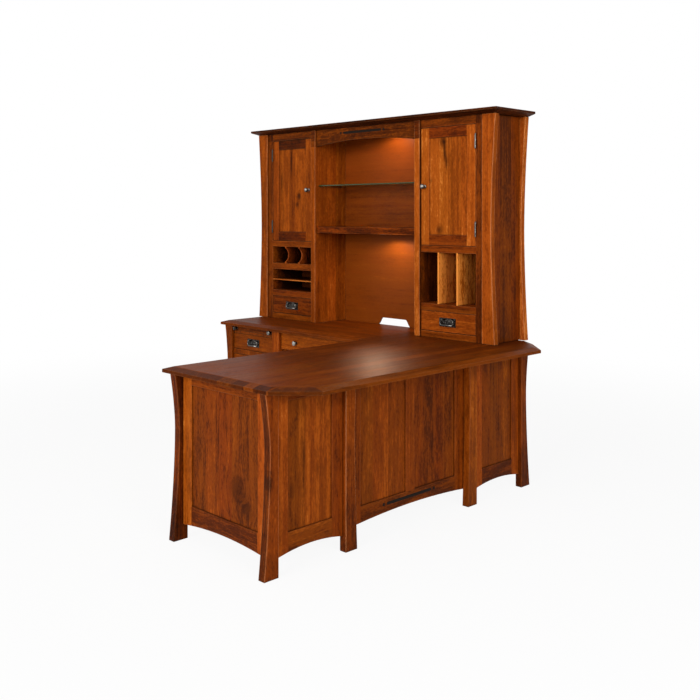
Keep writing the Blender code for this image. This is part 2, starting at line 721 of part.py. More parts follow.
def writing_board(between, place, paint, credenza):
    """A board that pulls out of a slot above the drawer, by a knob near each end."""
    half = between / 2 - REVEAL
    inner = between / 2 - RUNNER_INSET - SIDE_PLAY
    top = BOARD_THICK
    front = ((-half, 0.0, RUN), (half, FRONT_THICK, top))
    obj = eased(solid("writing_board", boxes(front), paint["front"], credenza, (*place, Z_BOARD)), 0.0)
    combine(obj, boxes(((-inner, FRONT_THICK - EMBED, RUN), (inner, BOARD_DEPTH, top))), "UNION")
    for side in (-1, 1):
        x = side * (half - BOARD_KNOB_INSET)
        combine(obj, knob((x, EMBED, (RUN + top) / 2)), "UNION")


def pencil_drawer(paint, credenza):
    """A shallow drawer across the kneehole, on a ledge at each side."""
    left = X_CREDENZA_KNEE_LEG + KNEE_HEAD + REVEAL
    right = X_RETURN - REVEAL
    half = (right - left) / 2
    rim = PENCIL_HEIGHT - BOX_DROP
    place = ((left + right) / 2, Y_CREDENZA_FACE, Z_PENCIL)
    front = ((-half, 0.0, RUN), (half, FRONT_THICK, PENCIL_HEIGHT))
    obj = eased(solid("pencil_drawer", boxes(front), paint["front"], credenza, place), 0.0)
    inner = half - SIDE_PLAY
    back = PENCIL_DEPTH
    combine(obj, boxes(((-inner, FRONT_THICK - EMBED, RUN), (inner, back, rim))), "UNION")
    low = (BOX_WALL - inner, FRONT_THICK, RUN + BOX_FLOOR)
    combine(obj, boxes((low, (inner - BOX_WALL, back - BOX_WALL, PENCIL_HEIGHT))), "DIFFERENCE")
    for side in (-1, 1):
        x = side * (half - PENCIL_KNOB_INSET)
        combine(obj, knob((x, EMBED, PENCIL_HEIGHT / 2)), "UNION")


def credenza_back(paint, credenza):
    far = Y_RETURN_WALL
    low = (X_CASE_KNEE + GAP, far - CREDENZA_BACK_THICK, CREDENZA_BACK_BASE)
    board("credenza_back", low, (X_RETURN - GAP, far, LEG_TOP), paint["inside"], credenza)


def hutch_sides(paint, hutch):
    """Each side is a front post, a back post and a flat panel between them."""
    sizes = (POST_FOOT, POST_WAIST, POST_HEAD)
    top = HUTCH_TOP - GAP
    for side, tip, outward in (("left", HUTCH_LEFT, -1), ("right", HUTCH_RIGHT, 1)):
        straight = tip - outward * POST_FOOT
        outline = hollow_edge(straight, outward, sizes, POST_WAIST_HEIGHT, HUTCH_BASE, top)
        for label, near in (("front", HUTCH_FRONT), ("back", HUTCH_BACK - POST_THICK)):
            post = prism(outline, "Y", near, near + POST_THICK)
            eased(solid(f"hutch_post_{label}_{side}", post, paint["leg"], hutch))
        face = straight + outward * (POST_WAIST - SIDE_RECESS)
        near, far = sorted((face, face - outward * SIDE_THICK))
        low = (near, HUTCH_FRONT + POST_THICK + GAP, HUTCH_BASE)
        high = (far, HUTCH_BACK - POST_THICK - GAP, top)
        board(f"hutch_side_{side}", low, high, paint["panel"], hutch)


def partitions(paint, hutch):
    """Two uprights beside the middle bay, each with two pegs that carry the glass shelf."""
    for side, low, bay in (("left", BAY_LEFT - PARTITION_THICK, 1), ("right", BAY_RIGHT, -1)):
        corner = (low, HUTCH_FRONT, HUTCH_BASE)
        far = (low + PARTITION_THICK, HUTCH_INNER_BACK, HUTCH_TOP - GAP)
        obj = solid(f"hutch_partition_{side}", boxes((corner, far)), paint["frame"], hutch, (0, 0, 0))
        eased(obj, HUTCH_FRONT)
        face = BAY_LEFT if bay > 0 else BAY_RIGHT
        level = DESK_HEIGHT + GLASS_UNDER - GAP - PEG_RADIUS
        front = HUTCH_FACE + SHELF_SETBACK + PEG_INSET
        back = HUTCH_INNER_BACK - PEG_INSET
        for y in (front, back):
            middle = (face, y, level)
            combine(obj, rod(middle, "X", PEG_RADIUS, 2 * PEG_LENGTH), "UNION")


def section(side):
    """The lowest and highest X of one cubby case, and of the opening in its face."""
    if side == "left":
        low = HUTCH_LEFT + SECTION_INSET
        return low, low + SECTION_WIDTH, low + FACE_STILE, low + SECTION_WIDTH
    high = HUTCH_RIGHT - SECTION_INSET
    return high - SECTION_WIDTH, high, high - SECTION_WIDTH, high - FACE_STILE


def slots(low, high, count):
    """The openings left between evenly spaced dividers."""
    width = (high - low - (count - 1) * DIVIDER_THICK) / count
    pitch = width + DIVIDER_THICK
    return [(low + i * pitch, low + i * pitch + width) for i in range(count)]


def cubby(side, rows, paint, hutch):
    """One side of the hutch: shelves, as thick as the rails they show, on an outer wall and open at the back.

    rows are (bottom, top, count): an opening, and how many spaces the dividers leave in it.
    """
    low, high, start, end = section(side)
    block = ((low, HUTCH_FACE, HUTCH_BASE), (high, HUTCH_INNER_BACK - GAP, HUTCH_TOP - GAP))
    obj = solid(f"hutch_case_{side}", boxes(block), paint["frame"], hutch, (0, 0, 0))
    near, far = HUTCH_FACE - OVERCUT, HUTCH_INNER_BACK + OVERCUT
    open_end = OVERCUT if side == "left" else 0.0
    open_start = OVERCUT - open_end
    rooms = []
    for bottom, top, count in rows:
        for i, (a, b) in enumerate(slots(start, end, count)):
            a = a - open_start if i == 0 else a
            b = b + open_end if i == count - 1 else b
            rooms.append(((a, near, bottom), (b, far, top)))
    combine(obj, boxes(*rooms), "DIFFERENCE")
    return obj


def cubbies(paint, hutch):
    """The left case has pigeonholes over letter slots; the right one has tall slots.  Both have a drawer."""
    door_row = (Z_DOOR, Z_DOOR_TOP, 1)
    sill = (Z_DRAWER, Z_DRAWER_TOP, 1)
    cubby("right", [sill, (Z_LETTERS, Z_CUBBY_TOP, 3), door_row], paint, hutch)
    letters_top = Z_LETTERS + LETTER_HEIGHT
    middle = (Z_LETTERS + letters_top) / 2
    lower = (Z_LETTERS, middle - LETTER_SHELF / 2, 1)
    upper = (middle + LETTER_SHELF / 2, letters_top, 1)
    obj = cubby("left", [sill, lower, upper, (Z_PIGEONS, Z_CUBBY_TOP, 3), door_row], paint, hutch)
    start, end = section("left")[2:]
    reach = HUTCH_FACE + SCOOP_DEPTH - SCOOP_RADIUS
    spaces = slots(start, end, 3)
    middle = ((spaces[0][1] + spaces[2][0]) / 2, reach, (Z_PIGEONS + Z_CUBBY_TOP) / 2)
    width = spaces[2][0] - spaces[0][1] + 2 * DIVIDER_THICK
    half_height = (Z_CUBBY_TOP - Z_PIGEONS) / 2 - OVERCUT
    scoop = rod(middle, "X", min(SCOOP_RADIUS, half_height), width, 28)
    combine(obj, scoop, "DIFFERENCE")
    for side in ("left", "right"):
        a, b = section(side)[2:]
        place = ((a + b) / 2, HUTCH_FACE)
        opening = (Z_DRAWER, Z_DRAWER_TOP)
        tray = drawer(f"hutch_drawer_{side}", b - a, opening, SECTION_DEPTH, place, 0.0, paint, hutch)
        pull(tray, f"hutch_bail_{side}", HUTCH_DRAWER_HEIGHT / 2, paint)


def door(side, paint, hutch):
    """A framed door in its opening, with two hinge barrels on its outer edge and a knob on its inner one."""
    start, end = section(side)[2:]
    hinge, into = (start, 1) if side == "left" else (end, -1)
    width = end - start - 2 * REVEAL
    height = DOOR_SPACE - 2 * REVEAL
    face = HINGE_RADIUS + GAP
    axis = (hinge, HUTCH_FACE - face, Z_DOOR + REVEAL)
    near, far = sorted((into * REVEAL, into * (REVEAL + width)))
    bm = boxes(((near, face, 0.0), (far, face + DOOR_THICK, height)))
    broad = [f for f in bm.faces if abs(f.normal.y) > 0.5]
    bm.normal_update()
    bmesh.ops.inset_individual(bm, faces=broad, thickness=DOOR_STILE, use_even_offset=True)
    for panel in broad:
        outer = panel.calc_center_median().y < face + DOOR_THICK / 2
        inward = DOOR_PANEL_RECESS if outer else -DOOR_PANEL_RECESS
        sunk = bmesh.ops.extrude_discrete_faces(bm, faces=[panel])["faces"]
        bmesh.ops.translate(bm, vec=(0.0, inward, 0.0), verts=sunk[0].verts)
    obj = eased(solid(f"hutch_door_{side}", bm, paint["front"], hutch, axis), face)
    for level in (HINGE_INSET, height - HINGE_INSET):
        barrel = rod((0.0, 0.0, level), "Z", HINGE_RADIUS, HINGE_LENGTH)
        combine(obj, barrel, "UNION")
        low, high = sorted((into * HINGE_RADIUS / 2, into * HINGE_LEAF))
        bottom, top = level - HINGE_LENGTH / 2, level + HINGE_LENGTH / 2
        leaf = ((low, face - HINGE_LEAF_THICK, bottom + OVERCUT), (high, face + EMBED, top - OVERCUT))
        combine(obj, boxes(leaf), "UNION")
    x = into * (REVEAL + width - DOOR_KNOB_INSET)
    handle = solid(f"hutch_knob_{side}", knob((0.0, 0.0, 0.0)), paint["bronze"], obj,
                   (x, face - GAP, height / 2))
    handle.data.shade_smooth()


def hutch_middle(paint, hutch):
    """The bay between the partitions: header, shelves and the back with its wire notch."""
    low, high = BAY_LEFT + GAP, BAY_RIGHT - GAP
    top = HUTCH_TOP - GAP
    outline = arched(low, high, top - HEADER_DROP, HEADER_RISE, top)
    header = prism(outline, "Y", HUTCH_FACE, HUTCH_FACE + FACE_THICK)
    eased(solid("hutch_header", header, paint["rail"], hutch))
    front, back = HUTCH_FACE + SHELF_SETBACK, HUTCH_INNER_BACK - GAP
    under = DESK_HEIGHT + SHELF_UNDER
    board("hutch_shelf", (low, front, under), (high, back, under + WOOD_SHELF_THICK), paint["rail"], hutch)
    front, under = HUTCH_FACE + GLASS_SETBACK, DESK_HEIGHT + GLASS_UNDER
    board("glass_shelf", (low, front, under), (high, back, under + GLASS_THICK), paint["glass"], hutch)
    hutch_back(paint, hutch)


def hutch_back(paint, hutch):
    """A thin back that hangs just behind and below the tops' faces, with an ogee notch in its lower edge for wires."""
    low, high = HUTCH_LEFT + SECTION_INSET, HUTCH_RIGHT - SECTION_INSET
    base, top = DESK_HEIGHT - HUTCH_BACK_DROP, HUTCH_TOP - GAP
    middle = BAY_MIDDLE + NOTCH_SHIFT
    share = np.linspace(0.0, 1.0, 9)
    reach = NOTCH_WIDTH / 2 + (NOTCH_TOP_WIDTH - NOTCH_WIDTH) / 2 * share
    rise = base + NOTCH_HEIGHT * (1 - np.cos(math.pi * share)) / 2
    left = [(middle - r, z) for r, z in zip(reach.tolist(), rise.tolist())]
    right = [(middle + r, z) for r, z in zip(reach.tolist(), rise.tolist())]
    outline = [(low, base), *left, *reversed(right), (high, base), (high, top), (low, top)]
    near = HUTCH_INNER_BACK + GAP
    solid("hutch_back", prism(outline, "Y", near, near + HUTCH_BACK_THICK), paint["panel"], hutch)


def crown(paint, hutch):
    """A slab whose underside slopes out to a thin edge."""
    loops = []
    for level, out in ((0.0, 0.0), (CROWN_SLOPE, 1.0), (CROWN_SLOPE + CROWN_TIP, 1.0)):
        left, right = HUTCH_LEFT - out * CROWN_SIDE, HUTCH_RIGHT + out * CROWN_SIDE
        front, back = HUTCH_FRONT - out * CROWN_FRONT, HUTCH_BACK + out * CROWN_BACK
        z = HUTCH_TOP + level
        loops.append([(left, front, z), (right, front, z), (right, back, z), (left, back, z)])
    solid("hutch_crown", lofted(loops), paint["top"], hutch)


def main():
    clear_scene()
    paint = {
        "top": finish("stained top", (0.16, 0.050, 0.016), 0.30),
        "leg": finish("stained leg", (0.30, 0.095, 0.022), 0.38),
        "frame": finish("stained frame", (0.27, 0.085, 0.021), 0.38),
        "panel": finish("stained panel", (0.32, 0.105, 0.024), 0.38),
        "rail": finish("stained rail", (0.22, 0.066, 0.018), 0.36),
        "front": finish("stained front", (0.28, 0.088, 0.022), 0.36),
        "inside": finish("stained inside", (0.22, 0.070, 0.020), 0.45),
        "bronze": finish("dark bronze", (0.045, 0.038, 0.032), 0.32, 0.9),
        "glass": finish("shelf glass", (0.55, 0.72, 0.64), 0.05),
    }
    desk, credenza, hutch = group("desk"), group("credenza"), group("hutch")
    tops(paint, desk, credenza)
    legs(paint, desk, credenza)
    frames(paint, desk, credenza)
    return_case(paint, desk)
    desk_pedestal(paint, desk)
    credenza_pedestal(paint, credenza)
    pencil_drawer(paint, credenza)
    credenza_back(paint, credenza)
    hutch_sides(paint, hutch)
    partitions(paint, hutch)
    cubbies(paint, hutch)
    for side in ("left", "right"):
        door(side, paint, hutch)
    hutch_middle(paint, hutch)
    crown(paint, hutch)


main()
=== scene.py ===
"""An L-shaped desk with a hutch: stained timber, bronze fittings, glass, inlays and shelf lamps."""

import math
import random

import bpy
import numpy as np
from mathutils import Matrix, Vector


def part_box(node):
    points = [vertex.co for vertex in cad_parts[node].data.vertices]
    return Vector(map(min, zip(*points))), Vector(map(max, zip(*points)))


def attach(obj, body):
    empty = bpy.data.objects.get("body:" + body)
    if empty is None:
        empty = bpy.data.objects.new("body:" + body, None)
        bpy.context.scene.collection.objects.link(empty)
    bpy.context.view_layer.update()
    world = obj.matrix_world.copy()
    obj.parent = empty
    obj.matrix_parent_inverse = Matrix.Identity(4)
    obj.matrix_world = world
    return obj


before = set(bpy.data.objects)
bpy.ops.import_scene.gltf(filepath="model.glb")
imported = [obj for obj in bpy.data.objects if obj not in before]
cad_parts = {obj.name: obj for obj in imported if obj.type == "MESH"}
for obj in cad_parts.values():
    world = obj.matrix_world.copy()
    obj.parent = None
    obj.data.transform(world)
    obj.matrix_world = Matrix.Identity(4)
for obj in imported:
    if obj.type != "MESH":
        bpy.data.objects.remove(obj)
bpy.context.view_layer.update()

bl_info = {
    "name": "Corner Desk Finishes",
    "version": (1, 0, 0),
    "blender": (4, 5, 0),
    "location": "3D View > Sidebar > Desk",
    "description": "Stains, fittings, lamps and stage for an L-shaped desk with a hutch",
    "category": "Object",
}

AXES = "XYZ"
FRAME_WARMTH = 0.45

# Where the drawer fronts' faces lie, and how far behind its face a drawer's box begins.
DESK_FACE = 0.2645
CREDENZA_FACE = 0.350
HUTCH_FACE = 0.633
FRONT_DEPTH = 0.0205

# How far apart planks, and logs, sample the figure.
PLANK_STEP = 57.0
LOG_STEP = (11.0, 7.0, 13.0)

# Layers of the timber's figure: the share of the tone; the scale across, through and along the grain; then
# the noise's detail, roughness and swirl.
FIGURE = {
    "band": (0.42, (62.0, 62.0, 1.1), 2.0, 0.55),
    "streak": (0.27, (150.0, 150.0, 2.4), 3.0, 0.62),
    "slow": (0.32, (9.0, 9.0, 1.3), 1.5, 0.5, 0.4),
    "blotch": (0.62, (18.0, 18.0, 5.0), 4.0, 0.64, 0.4),
    "fleck": (0.56, (150.0, 150.0, 55.0), 3.0, 0.62),
    "fibre": (0.24, (430.0, 430.0, 11.0), 2.0, 0.6),
}
PORES = ((1000.0, 1000.0, 38.0), 1.0)
MINERAL = ((30.0, 30.0, 1.9), 3.0, 0.6, 0.3)
GROWTH = 0.035


def a_colour(name, description, default):
    return bpy.props.FloatVectorProperty(
        name=name, description=description, subtype="COLOR", size=3, min=0.0, max=1.0, default=default)


def a_place(name, description, default):
    return bpy.props.FloatVectorProperty(
        name=name, description=description, subtype="TRANSLATION", unit="LENGTH", size=3, default=default)


def a_length(name, description, default, low, high):
    return bpy.props.FloatProperty(
        name=name, description=description, unit="LENGTH", min=low, max=high, default=default)


def a_power(name, description, default, high):
    return bpy.props.FloatProperty(
        name=name, description=description, unit="POWER", min=0.0, max=high, default=default)


class StainSettings(bpy.types.PropertyGroup):
    """The stain on the timber, from the darkest grain to the palest, with the colours of painted shade in
    gaps and painted highlights on edges.
    """

    # The deepest stain also colours the shade painted into corners and gaps.
    deep_stain_and_shade: a_colour("Deep", "Stain in knots and mineral streaks", (0.020, 0.0044, 0.0008))
    dark: a_colour("Dark", "Stain on the darkest boards", (0.080, 0.0150, 0.0015))
    middle: a_colour("Middle", "Stain on a common board", (0.205, 0.0390, 0.0026))
    light: a_colour("Light", "Stain on the lightest boards", (0.365, 0.0745, 0.0055))
    pale: a_colour("Pale", "Stain on sapwood", (0.640, 0.1800, 0.0260))
    # The bare colour also paints the highlight along rubbed edges.
    bare_wood_and_highlight: a_colour("Bare", "Wood where an edge is rubbed through", (0.800, 0.3600, 0.1500))
    satin: bpy.props.FloatProperty(
        name="Satin", description="Roughness of the lacquer", subtype="FACTOR", min=0.1, max=0.9,
        default=0.42)
    relief: a_length("Relief", "Depth of pores and fibres", 0.0006, 0.0, 0.005)
    edge: a_length("Rubbed edge", "How far from an edge the stain is rubbed", 0.0060, 0.0005, 0.02)
    # This reach sets how near a surface must be for shade to be painted into a gap.
    gap: a_length("Gap", "How near a surface must be for stain to gather", 0.010, 0.001, 0.05)


class FittingSettings(bpy.types.PropertyGroup):
    """Metal, glass, inlay and lamp sizes and colours."""

    bronze: a_colour("Bronze", "Dark rubbed metal", (0.022, 0.018, 0.015))
    # This colour also paints the highlights on knobs, bails, pull posts and hinges.
    bright: a_colour("Bright metal", "Where hands have polished it", (0.76, 0.72, 0.66))
    ebony: a_colour("Ebony", "Inlay wood", (0.012, 0.0085, 0.006))
    sea_green: a_colour("Glass edge", "Colour seen along the edge of the glass", (0.030, 0.052, 0.012))
    strip_height: a_length("Strip height", "Height of an inlay strip", 0.014, 0.002, 0.05)
    strip_proud: a_length("Proud", "How far an inlay stands out", 0.0008, 0.0002, 0.005)
    header_strip: a_length("Header strip", "Length of the header inlay", 0.312, 0.05, 0.7)
    rail_strip: a_length("Rail strip", "Length of the modesty rail inlay", 0.308, 0.05, 0.7)
    square_gap: a_length("Square gap", "From a strip's end to its square's middle", 0.021, 0.005, 0.1)
    lamp_radius: a_length("Lamp radius", "Radius of a shelf lamp", 0.034, 0.01, 0.08)
    lamp_depth: a_length("Lamp depth", "Height of a shelf lamp", 0.005, 0.005, 0.04)
    lamp_power: a_power("Lamp power", "Power of each shelf lamp", 4.7, 20.0)
    lamp_glow: a_colour("Lamp glow", "Colour of the lamps' light", (1.0, 0.85, 0.62))
    beam_power: a_power("Beam power", "Power of the beam on the desk top", 17.0, 400.0)
    beam_glow: a_colour("Beam glow", "Colour of the beam's light", (1.0, 0.62, 0.40))
    beam_spot: a_place("Beam spot", "Where the beam falls", (0.68, -0.02, 0.762))


class StageSettings(bpy.types.PropertyGroup):
    """Camera, lights and floor."""

    eye: a_place("Eye", "Where the camera stands", (3.6242, -3.1666, 1.4360))
    turn: bpy.props.FloatProperty(
        name="Turn", description="Direction of the level camera", subtype="ANGLE",
        default=math.radians(45.156))
    lens: bpy.props.FloatProperty(
        name="Lens", description="Focal length in millimetres", min=10.0, max=200.0, default=46.2)
    drop: bpy.props.FloatProperty(
        name="Drop", description="Vertical shift of the lens", min=-1.0, max=1.0, default=-0.193)
    key: a_power("Key", "Power of the large lamp before the hutch", 480.0, 2000.0)
    fill: a_power("Fill", "Power of the lamp on the visitor side", 135.0, 2000.0)
    top: a_power("Top", "Power of the lamp overhead", 30.0, 2000.0)
    sky: bpy.props.FloatProperty(
        name="Sky", description="Level of the surrounding light", min=0.0, max=2.0, default=0.16)
    floor: a_colour("Floor", "Colour of the floor", (0.92, 0.92, 0.92))


class Wire:
    """A shader socket that takes part in arithmetic: each operator adds one Math node."""

    def __init__(self, finish, socket):
        self.finish = finish
        self.socket = socket

    def math(self, operation, *terms):
        return self.finish.node("ShaderNodeMath", {"operation": operation}, dict(enumerate(terms)))

    def other(self, name):
        """Another output of the same node."""
        return Wire(self.finish, self.socket.node.outputs[name])

    def between(self, low, high):
        """Zero at low, one at high, smooth in between."""
        sockets = {"Value": self, "From Min": low, "From Max": high}
        return self.finish.node("ShaderNodeMapRange", {"interpolation_type": "SMOOTHSTEP"}, sockets)

    def above(self, level):
        return self.math("GREATER_THAN", self, level)

    def below(self, level):
        return self.math("LESS_THAN", self, level)

    def within(self, low, high):
        return self.above(low) * self.below(high)

    def larger(self, term):
        return self.math("MAXIMUM", self, term)

    def clamped(self):
        made = self.math("ADD", self, 0.0)
        made.socket.node.use_clamp = True
        return made

    def sine(self):
        return self.math("SINE", self)

    def floored(self):
        return self.math("FLOOR", self)

    def falling(self):
        """e to the power of minus the value."""
        return self.math("EXPONENT", -self)

    def __add__(self, term):
        return self.math("ADD", self, term)

    def __sub__(self, term):
        return self.math("SUBTRACT", self, term)

    def __rsub__(self, term):
        return self.math("SUBTRACT", term, self)

    def __mul__(self, term):
        return self.math("MULTIPLY", self, term)

    def __truediv__(self, term):
        return self.math("DIVIDE", self, term)

    def __rtruediv__(self, term):
        return self.math("DIVIDE", term, self)

    def __neg__(self):
        return self.math("MULTIPLY", self, -1.0)

    __radd__ = __add__
    __rmul__ = __mul__


class Finish:
    """The node tree of a material, or of the world, under construction."""

    def __init__(self, owner):
        owner.use_nodes = True
        self.owner = owner
        self.tree = owner.node_tree
        self.tree.nodes.clear()

    def node(self, kind, settings=None, values=None, out=0):
        """Adds a node: its settings first, then the values or links of its sockets.  Returns one output."""
        made = self.tree.nodes.new(kind)
        for key, value in (settings or {}).items():
            if key == "stops":
                self.set_stops(made.color_ramp, value)
            else:
                setattr(made, key, value)
        for key, value in (values or {}).items():
            if isinstance(value, Wire):
                self.tree.links.new(value.socket, made.inputs[key])
            else:
                made.inputs[key].default_value = value
        return Wire(self, made.outputs[out]) if made.outputs else None

    @staticmethod
    def set_stops(ramp, stops):
        """The way of blending, then places and colours; the first two fill the stops of a new ramp."""
        ramp.interpolation, *places = stops
        for element, (place, colour) in zip(ramp.elements, places):
            element.position = place
            element.color = colour
        for place, colour in places[2:]:
            ramp.elements.new(place).color = colour

    def vector(self, operation, *terms, out=0):
        return self.node("ShaderNodeVectorMath", {"operation": operation}, dict(enumerate(terms)), out)

    def mixed(self, factor, first, second, mode="MIX"):
        settings = {"data_type": "RGBA", "blend_type": mode}
        return self.node("ShaderNodeMix", settings, {0: factor, 6: first, 7: second}, 2)

    def swapped(self, factor, first, second):
        return self.node("ShaderNodeMix", {"data_type": "VECTOR"}, {0: factor, 4: first, 5: second}, 1)

    def joined(self, x, y, z):
        return self.node("ShaderNodeCombineXYZ", None, {0: x, 1: y, 2: z})

    def split(self, vector):
        first = self.node("ShaderNodeSeparateXYZ", None, {0: vector})
        return first, first.other("Y"), first.other("Z")

    def noise(self, vector, stretch, detail=2.0, rough=0.5, swirl=0.0):
        """Noise whose grain is stretched by a scale along each direction."""
        scaled = self.vector("MULTIPLY", vector, stretch)
        values = {"Vector": scaled, "Scale": 1.0, "Detail": detail, "Roughness": rough, "Distortion": swirl}
        return self.node("ShaderNodeTexNoise", None, values)

    def coords(self):
        return self.node("ShaderNodeTexCoord", out="Object")

    def place(self):
        """The three object coordinates, by axis name."""
        return dict(zip(AXES, self.split(self.coords())))

    def normal(self):
        return self.node("ShaderNodeNewGeometry", out="Normal")

    def grain(self, p, along, across):
        """Metres across, through and along the grain."""
        through = next(axis for axis in AXES if axis not in (along, across))
        return self.joined(p[across], p[through], p[along])

    def planked(self, share, planks):
        """The tone and the log of the plank that lies at a share of the width.

        planks holds each plank's start, tone and log; a stepped ramp has the tone in red, the log in green.
        """
        stops = [(start, (tone, log, 0.0, 1.0)) for start, tone, log in planks]
        if len(stops) == 1:
            stops.append((1.0, stops[0][1]))
        ramp = self.node("ShaderNodeValToRGB", {"stops": ["CONSTANT", *stops]}, {"Fac": share})
        tone = self.node("ShaderNodeSeparateColor", None, {0: ramp})
        return tone, tone.other("Green") * PLANK_STEP

    def bump(self, strength, distance, height):
        values = {"Strength": strength, "Distance": distance, "Height": height}
        return self.node("ShaderNodeBump", None, values)

    def surface(self, values):
        return self.node("ShaderNodeBsdfPrincipled", None, values)

    def close(self, shader):
        self.node("ShaderNodeOutputMaterial", None, {"Surface": shader})


def opaque(colour):
    return (*colour, 1.0)


def new_finish(name):
    return Finish(bpy.data.materials.new(name))


def coat(node, material):
    """Gives a CAD node its finish through its material slots."""
    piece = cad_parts.get(node)
    if piece is None:
        raise RuntimeError(f"no piece is called {node}")
    if not piece.material_slots:
        piece.data.materials.append(material)
    for slot in piece.material_slots:
        slot.material = material


def drawn_planks(name, count, spread):
    """Planks of differing width and tone, drawn by the piece's own name."""
    draw = random.Random(name)
    edges = [0.0] + [(k + draw.uniform(-0.22, 0.22)) / count for k in range(1, count)]
    return [(edge, 0.5 + draw.uniform(-spread, spread), draw.random()) for edge in edges]


def number(name):
    """A steady number for a piece, drawn by its name, that picks its log."""
    return random.Random(name).uniform(0.0, 900.0)


def span(node, axis):
    low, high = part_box(node)
    k = AXES.index(axis)
    return low[k], high[k]


def placed(window, knots):
    """Knots given in shares of a window, in metres across and along it."""
    a0, a1, l0, l1 = window
    return [(a0 + (a1 - a0) * u, l0 + (l1 - l0) * v, wide, tall, dark) for u, v, wide, tall, dark in knots]


def figure(f, lay, mark, tone, warmth, knots, calm=1.0):
    """Stained alder in three dimensions: its colour, roughness and height, and where the stain is blotched.

    lay holds metres across, through and along the grain.  Each log, chosen by mark, samples its own part of
    stretched noise: long streaks, growth lines that are contours of a slow noise, stain blotches, fibres
    and pores.  A knot is a Gaussian eye with rings; it pushes the grain round itself.  calm scales the
    contrast.
    """
    stain = bpy.context.scene.desk_stain
    ring_count, ring_depth, bend, growth_count = 7.0, 0.16, 0.75, 95.0
    dice = f.node("ShaderNodeTexWhiteNoise", {"noise_dimensions": "1D"}, {"W": mark}, "Color")
    chance = f.node("ShaderNodeSeparateColor", None, {0: dice}, "Green")
    across, through, along = f.split(lay)
    push, eye, rings = 0.0, 0.0, 0.0
    for side, height, wide, tall, strength in knots:
        offset = across - side
        du = offset / wide
        dv = (along - height) / tall
        far = du * du + dv * dv
        near = far.falling()
        push = push + offset * near
        eye = eye + near * near * strength
        rings = rings + (far * ring_count).sine() * near * (0.5 * strength)
    bent = f.joined(across - push * bend, through, along) if knots else lay
    log = f.vector("MULTIPLY_ADD", dice, LOG_STEP, bent)
    layers = {name: f.noise(log, *shape) for name, (_, *shape) in FIGURE.items()}
    band, blotch, fibre = layers["band"], layers["blotch"], layers["fibre"]
    growth = (layers["slow"] * growth_count + layers["streak"] * 2.0).sine()
    pore = f.noise(log, *PORES).between(0.60, 0.72)
    mineral = f.noise(log, *MINERAL).between(0.68, 0.80)
    level = tone + growth * (GROWTH * calm) - pore * 0.04
    for name, (weight, *_) in FIGURE.items():
        level = level + (layers[name] - 0.5) * (weight * calm)
    shadow = mineral * (0.42 * calm)
    if knots:
        level = level - rings * ring_depth
        shadow = shadow.larger(eye * (0.35 + blotch * 1.3))
    stops = ["EASE", (0.0, opaque(stain.deep_stain_and_shade)), (1.0, opaque(stain.pale)), (0.25, opaque(stain.dark)),
             (0.52, opaque(stain.middle)), (0.78, opaque(stain.light))]
    colour = f.node("ShaderNodeValToRGB", {"stops": stops}, {"Fac": level.clamped()})
    lean = (warmth + (chance - 0.5) * 0.3 + (band - 0.5) * 0.5).clamped()
    redder, yellower = (1.07, 0.84, 0.95, 1.0), (0.92, 1.19, 1.05, 1.0)
    colour = f.mixed(1.0, colour, f.mixed(lean, redder, yellower), "MULTIPLY")
    colour = f.mixed(shadow.clamped(), colour, opaque(stain.deep_stain_and_shade))
    rough = stain.satin + (blotch - 0.5) * 0.22 + pore * 0.10 - (fibre - 0.5) * 0.12
    height = fibre * 0.35 - pore * 0.5 + growth * 0.06
    return colour, rough, height, blotch


def rubbed(f, colour, rough, patch, rub_and_highlight):
    """Rubs the stain off outward edges, unevenly, which also paints a pale highlight along them, and
    paints shade into corners and gaps.

    An edge is where a rounded normal leaves the face's own normal; a gap is where little air is near.
    """
    stain = bpy.context.scene.desk_stain
    # fill is how strongly shade is painted into gaps.
    edge_gain, fill = 6.0, 0.75
    soft = f.node("ShaderNodeBevel", {"samples": 4}, {"Radius": stain.edge})
    turn = 1.0 - f.vector("DOT_PRODUCT", soft, f.normal(), out="Value")
    # Painted shade: where little air is near, in corners and gaps, the colour darkens towards the deepest
    # stain.
    air = f.node("ShaderNodeAmbientOcclusion", {"samples": 6}, {"Distance": stain.gap}, "AO")
    thick = (1.0 - air).between(0.10, 0.55)
    # Rubbing on outward edges, which also paints a pale highlight along them.
    rubbing_and_highlight = (turn * edge_gain).clamped() * patch.between(0.25, 0.60) * (1.0 - thick) * rub_and_highlight
    colour = f.mixed(rubbing_and_highlight, colour, opaque(stain.bare_wood_and_highlight))
    return f.mixed(thick * fill, colour, opaque(stain.deep_stain_and_shade)), rough - rubbing_and_highlight * 0.12


def finish_wood(f, colour, rough, height, metal=None, polish=0.0, sheen=0.03):
    """Closes a timber finish; where metal is one, the surface is a rubbed bronze fitting instead."""
    values = {"Specular IOR Level": sheen}
    if metal is not None:
        metal_colour, metal_rough = bronze_look(f, polish)
        colour = f.mixed(metal, colour, metal_colour)
        rough = rough + (metal_rough - rough) * metal
        values["Metallic"] = metal
        height = height * (1.0 - metal)
    bump = f.bump(0.35, bpy.context.scene.desk_stain.relief, height)
    values.update({"Base Color": colour, "Roughness": rough, "Normal": bump})
    f.close(f.surface(values))


